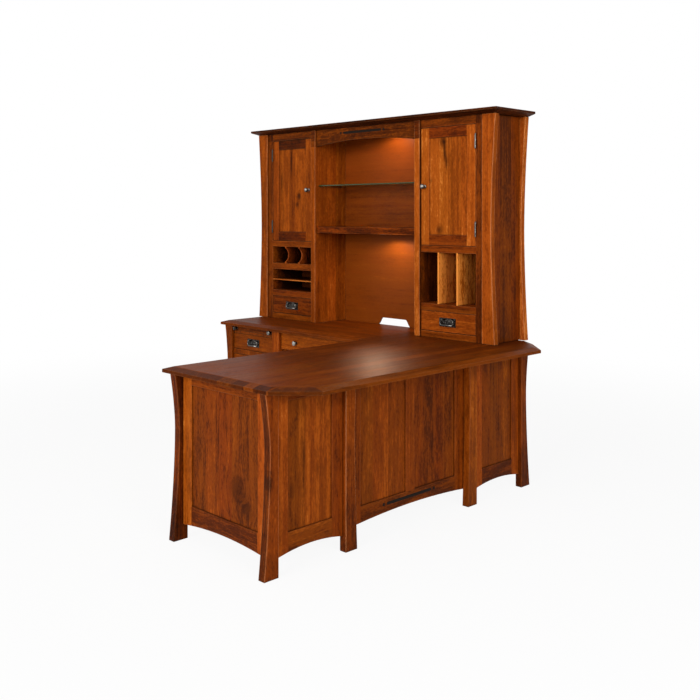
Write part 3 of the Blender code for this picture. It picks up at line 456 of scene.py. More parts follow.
def stained(node, f, lay, mark, shade, warmth, knots=(), calm=1.0, rub_and_highlight=0.10, dull=None, tint=None,
            **closing):
    """Figures the timber, rubs its edges with a painted highlight, paints shade into its gaps, closes the
    finish and gives it to a node.

    dull roughens the surface.  tint holds a mask and the colour that is multiplied in there.
    """
    colour, rough, height, patch = figure(f, lay, mark, shade, warmth, knots, calm)
    if tint:
        colour = f.mixed(tint[0], colour, tint[1], "MULTIPLY")
    if rub_and_highlight:
        colour, rough = rubbed(f, colour, rough, patch, rub_and_highlight)
    if dull is not None:
        rough = rough + dull
    finish_wood(f, colour, rough, height, **closing)
    coat(node, f.owner)


def bronze_look(f, polish):
    """Dark bronze with cloudy rubbed patches, brighter and smoother where it is polished and where a
    highlight is painted: colour and roughness.
    """
    fittings = bpy.context.scene.desk_fittings
    coords = f.coords()
    cloud = f.noise(coords, (160.0, 160.0, 160.0), 3.0, 0.6)
    fleck = f.noise(coords, (900.0, 900.0, 900.0), 2.0, 0.5)
    rubbing_and_highlight = (cloud.between(0.50, 0.76) * 0.30 + polish).clamped()
    colour = f.mixed(rubbing_and_highlight, opaque(fittings.bronze), opaque(fittings.bright))
    return colour, 0.30 + (fleck - 0.5) * 0.14 - rubbing_and_highlight * 0.18


def bronze_material(name, polish, spot=None):
    """A metal of its own: bronze brightened to a share, partly polish and partly a painted reflection, with
    faint dents.

    spot, a painted highlight, is a level axis, the place along it, the height and the reach.
    """
    f = new_finish(name)
    # A painted highlight: the metal brightens in a Gaussian spot round the given place.
    if spot:
        level, place, height, reach = spot
        p = f.place()
        du = (p[level] - place) / reach
        dz = (p["Z"] - height) / reach
        polish = (du * du + dz * dz).falling() * 0.9 + polish
    colour, rough = bronze_look(f, polish)
    dents = f.noise(f.coords(), (420.0, 420.0, 420.0), 2.0)
    bump = f.bump(0.12, 0.0004, dents)
    f.close(f.surface({"Base Color": colour, "Metallic": 1.0, "Roughness": rough, "Normal": bump}))
    return f.owner


def boarded(node, along, across, tone, warmth=0.5, planks=((0.0, 0.5, 0.5),), knots=(), **look):
    """A piece glued up from planks that all run one way."""
    f = new_finish(f"alder_{node}")
    p = f.place()
    low, high = span(node, across)
    plank, log = f.planked((p[across] - low) / (high - low), planks)
    knots = placed((low, high, *span(node, along)), knots)
    lay = f.grain(p, along, across)
    stained(node, f, lay, log + number(node), plank - 0.5 + tone, warmth, knots, rub_and_highlight=0.12, **look)


def framed(node, level, window, tones, lean=(0.0, 0.0), panel=None, knots=(), rail_warmth=None, metal=None,
           polish=0.0):
    """Upright stiles, level rails and, where the panel is part of the piece, a boarded panel.

    window holds the lowest and highest level coordinate and height of the opening; tones those of stiles
    and rails; lean how much lighter the far stile and the top rail are; panel the panel's tone and planks.
    metal, given the three coordinates, says where the surface is a fitting.
    """
    f = new_finish(f"alder_{node}")
    p = f.place()
    u, z = p[level], p["Z"]
    u0, u1, z0, z1 = window
    tone, rail_tone = tones
    inside = u.within(u0, u1)
    rail = inside * (1.0 - z.within(z0, z1))
    upper = z.above((z0 + z1) / 2)
    stile = (1.0 - rail) * u.above((u0 + u1) / 2)
    lay = f.swapped(rail, f.grain(p, "Z", level), f.grain(p, level, "Z"))
    mark = number(node) + stile * 31.7 + rail * (upper * 17.3 + 71.1)
    shade = tone + stile * lean[0] + rail * (rail_tone - tone + upper * lean[1])
    if panel:
        panel_tone, planks = panel
        field = inside * (1.0 - rail)
        plank, log = f.planked((u - u0) / (u1 - u0), planks)
        mark = mark + field * (log + 5.3)
        shade = shade + field * (plank - 0.5 + panel_tone - tone - stile * lean[0])
    warmth = FRAME_WARMTH
    if rail_warmth is not None:
        warmth = warmth + rail * (rail_warmth - warmth)
    fitting = metal(p) if metal else None
    stained(node, f, lay, mark, shade, warmth, placed(window, knots), metal=fitting, polish=polish)


def skin(points):
    """Quads of a grid whose columns close on themselves, with an end cap on the first and last row."""
    rows, columns = points.shape[:2]
    i, j = np.meshgrid(np.arange(rows - 1), np.arange(columns), indexing="ij")
    k = (j + 1) % columns
    quads = np.stack([i * columns + j, i * columns + k, (i + 1) * columns + k, (i + 1) * columns + j], -1)
    ends = [np.arange(columns)[::-1], np.arange((rows - 1) * columns, rows * columns)]
    return [*quads.reshape(-1, 4).tolist(), *(end.tolist() for end in ends)]


def outward(points, faces):
    """Turns the faces round where the enclosed volume comes out negative."""
    flat = points.reshape(-1, 3)
    quads = np.array([face for face in faces if len(face) == 4])
    a, b, c, d = (flat[quads[:, k]] for k in range(4))
    normal = np.cross(c - a, d - b)
    centre = (a + b + c + d) / 4 - flat.mean(0)
    if np.sum(normal * centre) < 0:
        return [face[::-1] for face in faces]
    return faces


def new_piece(name, shells, material, body):
    """One mesh of closed shells, each a grid of points; it rides on a body and takes a slot's finish."""
    points, faces, start = [], [], 0
    for shell in shells:
        made = outward(shell, skin(shell))
        faces += [[k + start for k in face] for face in made]
        points.append(shell.reshape(-1, 3))
        start += points[-1].shape[0]
    mesh = bpy.data.meshes.new(name)
    mesh.from_pydata(np.concatenate(points).tolist(), [], faces)
    mesh.materials.append(material)
    mesh.polygons.foreach_set("use_smooth", np.array([len(face) == 4 for face in faces]))
    mesh.update()
    piece = bpy.data.objects.new(name, mesh)
    bpy.context.scene.collection.objects.link(piece)
    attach(piece, body)


def turned(profile, middle, axis, segments=32):
    """A profile of (radius, reach) turned about an axis.

    The point is middle + radius (cos, sin) + reach along the axis.
    """
    radius, reach = np.array(profile, float).T
    turn = np.linspace(0.0, 2 * math.pi, segments, endpoint=False)
    k = AXES.index(axis)
    side, rise = (k + 1) % 3, (k + 2) % 3
    points = np.zeros((len(radius), segments, 3))
    points[..., side] = middle[side] + radius[:, None] * np.cos(turn)
    points[..., rise] = middle[rise] + radius[:, None] * np.sin(turn)
    points[..., k] = middle[k] + reach[:, None]
    return points


def tile(middle, half_wide, half_high, proud, facing, wide_axis):
    """A thin tile with eased corners.

    Its outline is the superellipse (cos^e, sin^e) with a small exponent, so nearly a rectangle; the rings go
    from behind the face to its front, drawing in by a quarter circle at the front edge.
    """
    corner, behind, power, segments = 0.0012, 0.0012, 0.16, 40
    turn = np.linspace(0.0, 2 * math.pi, segments, endpoint=False) + math.pi / segments
    ease = np.linspace(0.0, math.pi / 2, 5)
    inset = np.concatenate([[0.0], corner * (1 - np.cos(ease))])
    reach = np.concatenate([[-behind], proud - corner * 0.5 * (1 - np.sin(ease))])
    wide = np.sign(np.cos(turn)) * np.abs(np.cos(turn)) ** power
    high = np.sign(np.sin(turn)) * np.abs(np.sin(turn)) ** power
    sign = -1.0 if facing[0] == "-" else 1.0
    depth, level = AXES.index(facing[1]), AXES.index(wide_axis)
    points = np.zeros((len(inset), segments, 3))
    points[..., level] = middle[level] + (half_wide - inset)[:, None] * wide
    points[..., 2] = middle[2] + (half_high - inset)[:, None] * high
    points[..., depth] = middle[depth] + sign * reach[:, None]
    return points


def new_light(name, kind, place, power, aim=None, **settings):
    """A light at a place; it looks straight down, or towards aim."""
    light = bpy.data.lights.new(name, kind)
    light.energy = power
    for key, value in settings.items():
        setattr(light, key, value)
    lit = bpy.data.objects.new(name, light)
    lit.location = place
    if aim is not None:
        x, y, z = np.array(place) - np.array(aim)
        lit.rotation_euler = (math.atan2(math.hypot(x, y), z), 0.0, math.atan2(y, x) + math.pi / 2)
    bpy.context.scene.collection.objects.link(lit)


def background_rays(f):
    """One for the rays that show the background: from the camera, off gloss and through glass."""
    path = f.node("ShaderNodeLightPath", out="Is Camera Ray")
    return path.larger(path.other("Is Glossy Ray")).larger(path.other("Is Transmission Ray"))


class StainTops(bpy.types.Operator):
    """Stains the desk top, the credenza top and the hutch's crown dark, with planks along their length."""

    bl_idname = "desk.stain_tops"
    bl_label = "Stain the tops"
    desk_planks = ((0.0, 0.46, 0.11), (0.15, 0.49, 0.82), (0.30, 0.45, 0.35), (0.46, 0.50, 0.64),
                   (0.57, 0.40, 0.27), (0.66, 0.62, 0.93), (0.73, 0.38, 0.48), (0.82, 0.60, 0.71),
                   (0.94, 0.56, 0.05))

    def execute(self, context):
        self.desk()
        credenza, crown = drawn_planks("credenza_top", 4, 0.03), drawn_planks("hutch_crown", 3, 0.04)
        boarded("credenza_top", "X", "Y", 0.40, 0.50, credenza, sheen=0.02, calm=0.55)
        boarded("hutch_crown", "X", "Y", 0.12, 0.45, crown, calm=0.6)
        return {"FINISHED"}

    def desk(self):
        """Planks whose tones differ little on the flat and plainly on the bevel, where they show their ends.

        The flat is lighter towards the free end; the bevel is darker along it, and at the clipped corner it
        carries painted shade.
        """
        drop, end, clip, clip_share = 0.0012, 0.045, 0.154, 0.83
        tone, flat_contrast, bevel_contrast = 0.38, 0.22, 0.9
        f = new_finish("alder_desk_top")
        p = f.place()
        low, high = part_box("desk_top")
        share = (p["X"] - low[0]) / (high[0] - low[0])
        plank, log = f.planked(share, self.desk_planks)
        bevel = p["Z"].below(high[2] - drop)
        # Painted shade on the clipped corner's bevel, which faces away from the light.
        corner = bevel * share.above(clip_share) * p["Y"].below(low[1] + clip)
        shade = tone + (plank - 0.5) * (flat_contrast + bevel * bevel_contrast)
        shade = shade + (1.0 - bevel) * (0.07 - (p["Y"] - low[1]).between(0.05, 0.75) * 0.13)
        shade = shade - bevel * p["Y"].below(low[1] + end) * 0.07 - corner * 0.16
        mark = log + number("desk_top")
        stained("desk_top", f, f.grain(p, "Y", "X"), mark, shade, 0.50, calm=0.55, sheen=0.02)


class StainLegs(bpy.types.Operator):
    """Stains the legs and the hutch posts, each from a log of its own with upright grain."""

    bl_idname = "desk.stain_legs"
    bl_label = "Stain the legs"
    # Tone, warmth, and the edges' rubbing with its painted highlight,
    # where they differ from the common ones.
    common = (0.43, 0.35, 0.2)
    logs = {
        "credenza_leg_front_knee": (0.64, 0.35, 0.2),
        "desk_leg_end_user": (0.29, 0.35, 0.2),
        "desk_leg_end_visitor": (0.42, 0.35, 0.45),
        "desk_leg_knee_visitor": (0.52, 0.35, 0.7),
        "desk_leg_return_back": (0.42, 0.35, 0.2),
        "desk_leg_return_knee": (0.66, 0.60, 0.2),
        "hutch_post_back_left": (0.43, 0.35, 0.8),
        "hutch_post_back_right": (0.82, 0.35, 0.8),
        "hutch_post_front_left": (0.61, 0.35, 0.8),
        "hutch_post_front_right": (0.71, 0.48, 0.8),
    }
    # How much lighter a leg's face along X is, and its knots.
    two_toned = {"desk_leg_end_visitor": 0.26}
    knots = {"desk_leg_end_visitor": [(0.35, 0.52, 0.020, 0.045, 0.75)]}

    def execute(self, context):
        for node in sorted(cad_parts):
            if "_leg_" in node or "_post_" in node:
                self.leg(node, *self.logs.get(node, self.common))
        return {"FINISHED"}

    def leg(self, node, tone, warmth, rub_and_highlight):
        """Upright grain; the face that looks along X comes from another board than the one along Y."""
        foot, shin, foot_darker = 0.02, 0.30, 0.10
        low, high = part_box(node)
        across = "X" if high[0] - low[0] > high[1] - low[1] else "Y"
        f = new_finish(f"alder_{node}")
        p = f.place()
        face_x = f.split(f.normal())[0].above(0.7)
        lighter = self.two_toned.get(node, 0.0)
        shade = tone - lighter * 0.5 + face_x * lighter
        if node.startswith("desk_"):
            shade = shade - foot_darker + p["Z"].between(foot, shin) * foot_darker
        mark = number(node) + face_x * 3.7
        knots = placed((*span(node, across), *span(node, "Z")), self.knots.get(node, ()))
        stained(node, f, f.grain(p, "Z", across), mark, shade, warmth, knots, rub_and_highlight=rub_and_highlight)


class StainFrames(bpy.types.Operator):
    """Stains the desk's frames: upright stiles and level rails round their panels."""

    bl_idname = "desk.stain_frames"
    bl_label = "Stain the frames"

    def execute(self, context):
        for name, level, tones, lean in (
                ("end", "X", (0.70, 0.37), 0.0), ("side", "Y", (0.62, 0.50), -0.17),
                ("return", "Y", (0.66, 0.30), -0.08), ("credenza_end", "Y", (0.53, 0.47), 0.0)):
            panel = f"{name}_panel"
            framed(f"{name}_frame", level, (*span(panel, level), *span(panel, "Z")), tones, (lean, 0.0))
        low, high = span("modesty_panel_front", "Y")[0], span("modesty_panel_back", "Y")[1]
        framed("modesty_frame", "Y", (low, high, *span("modesty_panel_front", "Z")), (0.49, 0.40))
        return {"FINISHED"}


class StainPanels(bpy.types.Operator):
    """Stains the desk's flat panels, each glued up from upright planks."""

    bl_idname = "desk.stain_panels"
    bl_label = "Stain the panels"

    def execute(self, context):
        end = [(0.0, 0.47, 0.21), (0.21, 0.54, 0.74), (0.42, 0.50, 0.33), (0.61, 0.47, 0.58),
               (0.86, 0.42, 0.09)]
        end_knots = [(0.70, 0.27, 0.090, 0.090, 0.55), (0.84, 0.13, 0.065, 0.060, 0.42),
                     (0.52, 0.74, 0.014, 0.022, 0.4)]
        side = [(0.0, 0.40, 0.63), (0.24, 0.46, 0.38), (0.40, 0.57, 0.17)]
        side_knots = [(0.37, 0.55, 0.008, 0.10, 0.7), (0.36, 0.35, 0.007, 0.05, 0.6),
                      (0.10, 0.30, 0.020, 0.06, 0.4)]
        front = [(0.0, 0.52, 0.12), (0.28, 0.55, 0.66), (0.62, 0.49, 0.41)]
        back = [(0.0, 0.50, 0.18), (0.22, 0.42, 0.52), (0.48, 0.47, 0.86), (0.72, 0.52, 0.30)]
        boarded("end_panel", "Z", "X", 0.45, 0.36, end, end_knots)
        boarded("side_panel", "Z", "Y", 0.565, 0.50, side, side_knots)
        boarded("modesty_panel_front", "Z", "Y", 0.55, 0.50, front)
        boarded("modesty_panel_back", "Z", "Y", 0.44, 0.45, back, [(0.36, 0.80, 0.030, 0.10, 0.35)])
        boarded("return_panel", "Z", "Y", 0.48, 0.50, drawn_planks("return", 3, 0.05))
        boarded("credenza_end_panel", "Z", "Y", 0.5, 0.6, drawn_planks("credenza_end", 5, 0.08))
        return {"FINISHED"}


class StainFronts(bpy.types.Operator):
    """Stains the drawer fronts with level grain, their boxes pale and dull, and makes the pulls metal."""

    bl_idname = "desk.stain_fronts"
    bl_label = "Stain the drawers"

    def execute(self, context):
        for face, axis, level, fronts in (
                (DESK_FACE, "X", "Y", (("desk_box_drawer", 0.50), ("desk_file_drawer", 0.50))),
                (CREDENZA_FACE, "Y", "X", (("credenza_box_drawer", 0.56), ("credenza_file_drawer", 0.52),
                                           ("pencil_drawer", 0.62), ("writing_board", 0.30))),
                (HUTCH_FACE, "Y", "X", (("hutch_drawer_left", 0.39), ("hutch_drawer_right", 0.61)))):
            for node, tone in fronts:
                self.front(node, face, axis, level, tone)
        return {"FINISHED"}

    def front(self, node, face, axis, level, tone):
        """The pull's plate is dark; what stands out further, its posts or a knob, gets a painted highlight.
        """
        plate, posts, knob, box_tone = 0.0004, 0.006, 0.0235, 0.68
        f = new_finish(f"alder_{node}")
        p = f.place()
        box = p[axis].above(face + FRONT_DEPTH)
        lay = f.swapped(box, f.grain(p, level, "Z"), f.grain(p, axis, "Z"))
        shade = tone + box * (box_tone - tone)
        polish = p[axis].below(face - posts) * 0.08 + p[axis].below(face - knob) * 0.30
        # Only the writing board's right knob keeps a painted highlight, at half strength.
        if node == "writing_board":
            polish = polish * p[level].above(sum(span(node, level)) / 2) * 0.5
        stained(node, f, lay, number(node) + box * 40.0, shade, 0.38, calm=1.0 - box * 0.6, dull=box * 0.15,
                metal=p[axis].below(face - plate), polish=polish)


class StainDoors(bpy.types.Operator):
    """Stains the framed hutch doors: light stiles, dark rails, a planked panel and metal hinges."""

    bl_idname = "desk.stain_doors"
    bl_label = "Stain the doors"
    left_planks = ((0.0, 0.49, 0.31), (0.36, 0.36, 0.77), (0.56, 0.50, 0.12))
    left_knots = ((0.44, 0.86, 0.014, 0.15, 0.85), (0.72, 0.43, 0.026, 0.034, 0.85),
                  (0.66, 0.33, 0.022, 0.024, 0.7), (0.08, 0.60, 0.011, 0.10, 0.8))
    right_planks = ((0.0, 0.47, 0.42), (0.26, 0.49, 0.13), (0.49, 0.31, 0.87), (0.63, 0.37, 0.61),
                    (0.83, 0.44, 0.23))
    right_knots = ((0.36, 0.96, 0.034, 0.045, 0.85), (0.40, 0.84, 0.014, 0.075, 0.9),
                   (0.45, 0.74, 0.012, 0.06, 0.8), (0.26, 0.05, 0.030, 0.034, 0.7),
                   (0.04, 0.56, 0.010, 0.012, 0.6))

    def execute(self, context):
        # The last number brightens each door's hinge, the right more than the left: a painted reflection.
        self.door("left", (0.58, 0.21), (0.0, -0.04), (0.62, self.left_planks), self.left_knots, 0.03)
        self.door("right", (0.77, 0.48), (-0.05, -0.10), (0.74, self.right_planks), self.right_knots, 0.06)
        return {"FINISHED"}

    def door(self, side, tones, lean, panel, knots, polish):
        stile, width, barrel, barrel_depth = 0.057, 0.375, 0.0096, 0.0088
        node = f"hutch_door_{side}"
        low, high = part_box(node)
        near, far = (high[0] - width, high[0]) if side == "left" else (low[0], low[0] + width)
        window = (near + stile, far - stile, low[2] + stile, high[2] - stile)

        def hinge(p):
            beside = p["X"].below(low[0] + barrel) if side == "left" else p["X"].above(high[0] - barrel)
            return p["Y"].below(low[1] + barrel_depth) * beside

        framed(node, "X", window, tones, lean, panel, knots, 0.15, hinge, polish)


class StainHutch(bpy.types.Operator):
    """Stains the hutch's cases, partitions, sides, back, header and shelf."""

    bl_idname = "desk.stain_hutch"
    bl_label = "Stain the hutch"
    # Heights of the doors' top, the letter shelf's lip and the cubbies' dividers.
    door_top = 1.9177
    lip = (1.0130, 1.0200)
    dividers = {"left": (1.1235, 1.2302), "right": (0.9495, 1.2302)}

    def execute(self, context):
        boarded("hutch_side_right", "Z", "Y", 0.41, 0.45, drawn_planks("side_right", 3, 0.06),
                [(0.45, 0.68, 0.018, 0.03, 0.6), (0.62, 0.38, 0.016, 0.03, 0.5)])
        boarded("hutch_side_left", "Z", "Y", 0.46, 0.6, drawn_planks("side_left", 3, 0.07))
        self.back()
        boarded("hutch_header", "X", "Z", 0.29, 0.50, calm=1.2)
        boarded("hutch_shelf", "X", "Y", 0.41, 0.35, calm=1.6)
        for side in ("left", "right"):
            self.partition(f"hutch_partition_{side}", side)
            self.case(f"hutch_case_{side}", side)
        return {"FINISHED"}

    def back(self):
        """A calm veneer with level grain; its front has painted shade in the cubbies, darker than in the
        middle bay.
        """
        rear_tone, painted_cubby_shade, bay_lighter, shelf_darker = 0.45, 0.22, 0.285, 0.07
        f = new_finish("alder_hutch_back")
        p = f.place()
        left, right = span("hutch_partition_left", "X")[0], span("hutch_partition_right", "X")[1]
        shelf, glass = span("hutch_shelf", "Z")[1], span("glass_shelf", "Z")[0]
        bay = p["X"].within(left, right)
        inside = p["Y"].below(sum(span("hutch_back", "Y")) / 2)
        # Painted shade: the back is darker behind the cubbies than in the middle bay.
        shade = painted_cubby_shade + bay * (bay_lighter - p["Z"].within(shelf, glass) * shelf_darker)
        shade = rear_tone + inside * (shade - rear_tone)
        mark = number("hutch_back") + (p["Z"].above(shelf) + p["Z"].above(glass)) * 9.0
        stained("hutch_back", f, f.grain(p, "X", "Z"), mark, shade, 0.45, calm=0.45, rub_and_highlight=0.0, sheen=0.10)

    def partition(self, node, side):
        """An upright of three planks, with painted shade on the face towards the cubbies, like the header
        where that meets it.
        """
        skin_depth, front_depth = 0.001, 0.002
        cubby_painted_shade, front_lighter, header_tone = 0.36, 0.0 if side == "left" else 0.17, 0.32
        f = new_finish(f"alder_{node}")
        p = f.place()
        low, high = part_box(node)
        plank, log = f.planked((p["Y"] - low[1]) / (high[1] - low[1]), drawn_planks(side, 3, 0.08))
        x = p["X"]
        shaded_cubby_face = x.below(low[0] + skin_depth) if side == "left" else x.above(high[0] - skin_depth)
        facing = p["Y"].below(low[1] + front_depth)
        over = facing * p["Z"].above(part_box("hutch_header")[0][2])
        lay = f.swapped(over, f.grain(p, "Z", "Y"), f.grain(p, "X", "Z"))
        mark = log + number(node) + over * 23.0
        # Painted shade on the face towards the cubbies.
        shade = plank + 0.10 + facing * front_lighter - shaded_cubby_face * cubby_painted_shade
        shade = shade + over * (header_tone - shade)
        stained(node, f, lay, mark, shade, 0.55 - over * 0.15, rub_and_highlight=0.5)

    def case(self, node, side):
        """Level rails and shelves between an upright stile and dividers, in deepening shade inside."""
        wall, thick, slack, cubbies, boards_per_metre = 0.046, 0.010, 0.0006, 3, 14.0
        left = side == "left"
        f = new_finish(f"alder_{node}")
        p = f.place()
        low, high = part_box(node)
        start, end = (low[0] + wall, high[0]) if left else (low[0], high[0] - wall)
        pitch = (end - start + thick) / cubbies
        outer = p["X"].below(start) if left else p["X"].above(end)
        divider = 0.0
        for k in range(1, cubbies):
            edge = start + k * pitch - thick
            divider = divider + p["X"].within(edge - slack, edge + thick + slack)
        divider = divider * p["Z"].within(*self.dividers[side])
        upright = (outer + divider).clamped()
        lay = f.swapped(upright, f.grain(p, "X", "Z"), f.grain(p, "Z", "Y"))
        row = (p["Z"] * boards_per_metre).floored()
        mark = number(node) + (1.0 - upright) * row * 3.1 + divider * 7.7
        depth = (p["Y"] - low[1]).between(*((0.01, 0.12) if left else (0.08, 0.27)))
        edge_tone, inner_tone = (0.46, 0.40) if left else (0.50, 1.00)
        shade = edge_tone + divider * (inner_tone - edge_tone) - depth * (0.50 if left else 0.60)
        # The outer stile is darker as painted shadow of the proud post beside it; the top rail above the
        # doors is darker too.
        shade = shade - p["Z"].above(self.door_top) * 0.15 - outer * (0.08 if left else 0.20)
        tint = None
        if left:
            front = f.split(f.normal())[1].below(-0.3)
            lip = p["Y"].below(low[1] + 0.002) * p["Z"].within(*self.lip)
            shade = shade + lip * p["X"].above(start) * 0.36 + divider * front * 0.20
        else:
            tint = (divider, (1.35, 1.40, 1.60, 1.0))
        warmth = 0.45 + divider * (-0.15 if left else 0.26)
        stained(node, f, lay, mark, shade, warmth, calm=1.0 + divider * 0.5, rub_and_highlight=0.15, tint=tint)


class StainInsides(bpy.types.Operator):
    """Stains the cases under the tops and the credenza's back, plainly and with upright planks."""

    bl_idname = "desk.stain_insides"
    bl_label = "Stain the insides"

    def execute(self, context):
        for node in ("desk_case", "return_case", "credenza_case", "credenza_back"):
            across = "X" if node == "credenza_back" else "Y"
            boarded(node, "Z", across, 0.50, 0.5, drawn_planks(node, 4, 0.06))
        return {"FINISHED"}


class DressMetal(bpy.types.Operator):
    """Gives the bails and door knobs a dark rubbed bronze with a painted highlight."""

    bl_idname = "desk.dress_metal"
    bl_label = "Dress the metal"
    # Where a highlight is painted on a bail, in from its end and up from its foot, and how widely;
    # then on a knob.
    bail_in, bail_up, bail_reach = 0.018, 0.004, 0.011
    knob_up, knob_reach = 0.002, 0.0060

    def execute(self, context):
        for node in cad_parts:
            low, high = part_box(node)
            if "_bail" in node:
                level = "Y" if node.startswith("desk_") else "X"
                end = span(node, level)[1]
                painted_glint = (level, end - self.bail_in, low[2] + self.bail_up, self.bail_reach)
                coat(node, bronze_material(f"bronze_{node}", 0.09, painted_glint))
            elif "_knob" in node:
                middle = (low + high) / 2
                painted_glint = ("X", middle[0], middle[2] + self.knob_up, self.knob_reach)
                coat(node, bronze_material(f"bronze_{node}", 0.02, painted_glint))
        return {"FINISHED"}


class PolishGlass(bpy.types.Operator):
    """Makes the upper shelf clear glass that is green along its edges."""

    bl_idname = "desk.polish_glass"
    bl_label = "Polish the glass"

    def execute(self, context):
        rim_depth = 0.0022
        f = new_finish("glass_shelf_clear")
        y = f.place()["Y"]
        low, high = span("glass_shelf", "Y")
        rim = y.below(low + rim_depth).larger(y.above(high - rim_depth))
        smear = f.noise(f.coords(), (14.0, 30.0, 14.0), 3.0)
        clear = f.surface({"Base Color": (0.93, 0.97, 0.94, 1.0), "Transmission Weight": 1.0, "IOR": 1.5,
                           "Roughness": smear.between(0.45, 0.9) * 0.10 + 0.01})
        tint = f.mixed(smear, opaque(context.scene.desk_fittings.sea_green), (0.055, 0.085, 0.020, 1.0))
        edge = f.surface({"Base Color": tint, "Roughness": smear * 0.1 + 0.06, "Transmission Weight": 0.3})
        f.close(f.node("ShaderNodeMixShader", None, {0: rim, 1: clear, 2: edge}))
        coat("glass_shelf", f.owner)
        return {"FINISHED"}


class LayInlays(bpy.types.Operator):
    """Lays a dark strip with a square at each end in the hutch's header and in the modesty rail."""

    bl_idname = "desk.lay_inlays"
    bl_label = "Lay the inlays"
    # How far a row lies below the header's top, above the modesty rail's foot and beside their middles.
    header_drop, header_shift = 0.031, -0.014
    rail_rise, rail_shift = 0.055, -0.006

    def execute(self, context):
        fittings = context.scene.desk_fittings
        f = new_finish("ebony_inlay")
        grain = f.noise(f.coords(), (40.0, 40.0, 600.0), 3.0)
        colour = f.mixed(grain, opaque(fittings.ebony), (0.016, 0.010, 0.007, 1.0))
        f.close(f.surface({"Base Color": colour, "Roughness": 0.45 + grain * 0.15,
                           "Specular IOR Level": 0.04, "Normal": f.bump(0.2, 0.0003, grain)}))
        low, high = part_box("hutch_header")
        header = ((low[0] + high[0]) / 2 + self.header_shift, low[1], high[2] - self.header_drop)
        self.row("header_inlay", header, fittings.header_strip, "-Y", "X", f.owner)
        low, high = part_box("modesty_frame")
        rail = (high[0], (low[1] + high[1]) / 2 + self.rail_shift, low[2] + self.rail_rise)
        self.row("modesty_inlay", rail, fittings.rail_strip, "+X", "Y", f.owner)
        return {"FINISHED"}

    def row(self, name, middle, length, facing, wide_axis, material):
        fittings = bpy.context.scene.desk_fittings
        high, proud = fittings.strip_height / 2, fittings.strip_proud
        shells = [tile(middle, length / 2, high, proud, facing, wide_axis)]
        for side in (-1, 1):
            spot = list(middle)
            spot[AXES.index(wide_axis)] += side * (length / 2 + fittings.square_gap)
            shells.append(tile(spot, high * 0.95, high * 0.95, proud, facing, wide_axis))
        new_piece(name, shells, material, "stand")


class FitLamps(bpy.types.Operator):
    """Fits a round lamp under the hutch's crown and one under its wood shelf."""

    bl_idname = "desk.fit_lamps"
    bl_label = "Fit the lamps"
    # How far the lamps sit beside the shelf's middle and before its back edge, and how wide their light is.
    shift, inset = 0.065, 0.13
    lamp_spread, beam_spread = math.radians(165.0), math.radians(30.0)

    def execute(self, context):
        fittings = context.scene.desk_fittings
        shell = bronze_material("lamp_bronze", 0.1)
        f = new_finish("lamp_lens")
        frost = f.noise(f.coords(), (300.0, 300.0, 300.0), 2.0)
        glow = f.mixed(frost, opaque(fittings.lamp_glow), (1.0, 0.78, 0.5, 1.0))
        f.close(f.surface({"Base Color": (0.8, 0.7, 0.55, 1.0), "Roughness": frost * 0.2 + 0.2,
                           "Emission Color": glow, "Emission Strength": 3.0}))
        low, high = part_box("hutch_shelf")
        x, y = (low[0] + high[0]) / 2 + self.shift, high[1] - self.inset
        self.lamp("upper", (x, y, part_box("hutch_crown")[0][2]), shell, f.owner)
        self.lamp("lower", (x, y, low[2]), shell, f.owner)
        # The lower lamp's beam, which leaves a soft pool of light on the desk top.
        place = (x, low[1] + 0.02, low[2] - 0.03)
        new_light("beam_lower", "SPOT", place, fittings.beam_power, fittings.beam_spot,
                  color=fittings.beam_glow, spot_size=self.beam_spread, spot_blend=1.0,
                  shadow_soft_size=0.03)
        return {"FINISHED"}

    def lamp(self, name, place, shell, lens):
        """A turned shell with a quarter-round rim, a domed lens within it and the light that it gives."""
        fittings = bpy.context.scene.desk_fittings
        r, d = fittings.lamp_radius, fittings.lamp_depth
        seat, rim, recess, rise, light_below = -0.0002, 0.003, 0.002, 0.0014, 0.006
        ease = np.linspace(0.0, math.pi / 2, 6)
        edge = zip(r - rim * (1 - np.cos(ease)), -d + rim * (1 - np.sin(ease)))
        body = [(r * 0.6, seat), (r, seat), *edge, (r * 0.86, -d), (r * 0.82, -d + recess),
                (r * 0.4, -d + recess)]
        new_piece(f"lamp_{name}_shell", [turned(body, place, "Z")], shell, "stand")
        dome = np.linspace(0.0, math.pi / 2 - 0.05, 7)
        glass = [(r * 0.4, -d + 0.0030), (r * 0.80, -d + 0.0024),
                 *zip(r * 0.80 * np.cos(dome), -d + 0.0022 - rise * np.sin(dome))]
        new_piece(f"lamp_{name}_lens", [turned(glass, place, "Z")], lens, "stand")
        new_light(f"glow_{name}", "SPOT", (*place[:2], place[2] - d - light_below), fittings.lamp_power,
                  color=fittings.lamp_glow, spot_size=self.lamp_spread, spot_blend=0.4,
                  shadow_soft_size=r * 0.6)


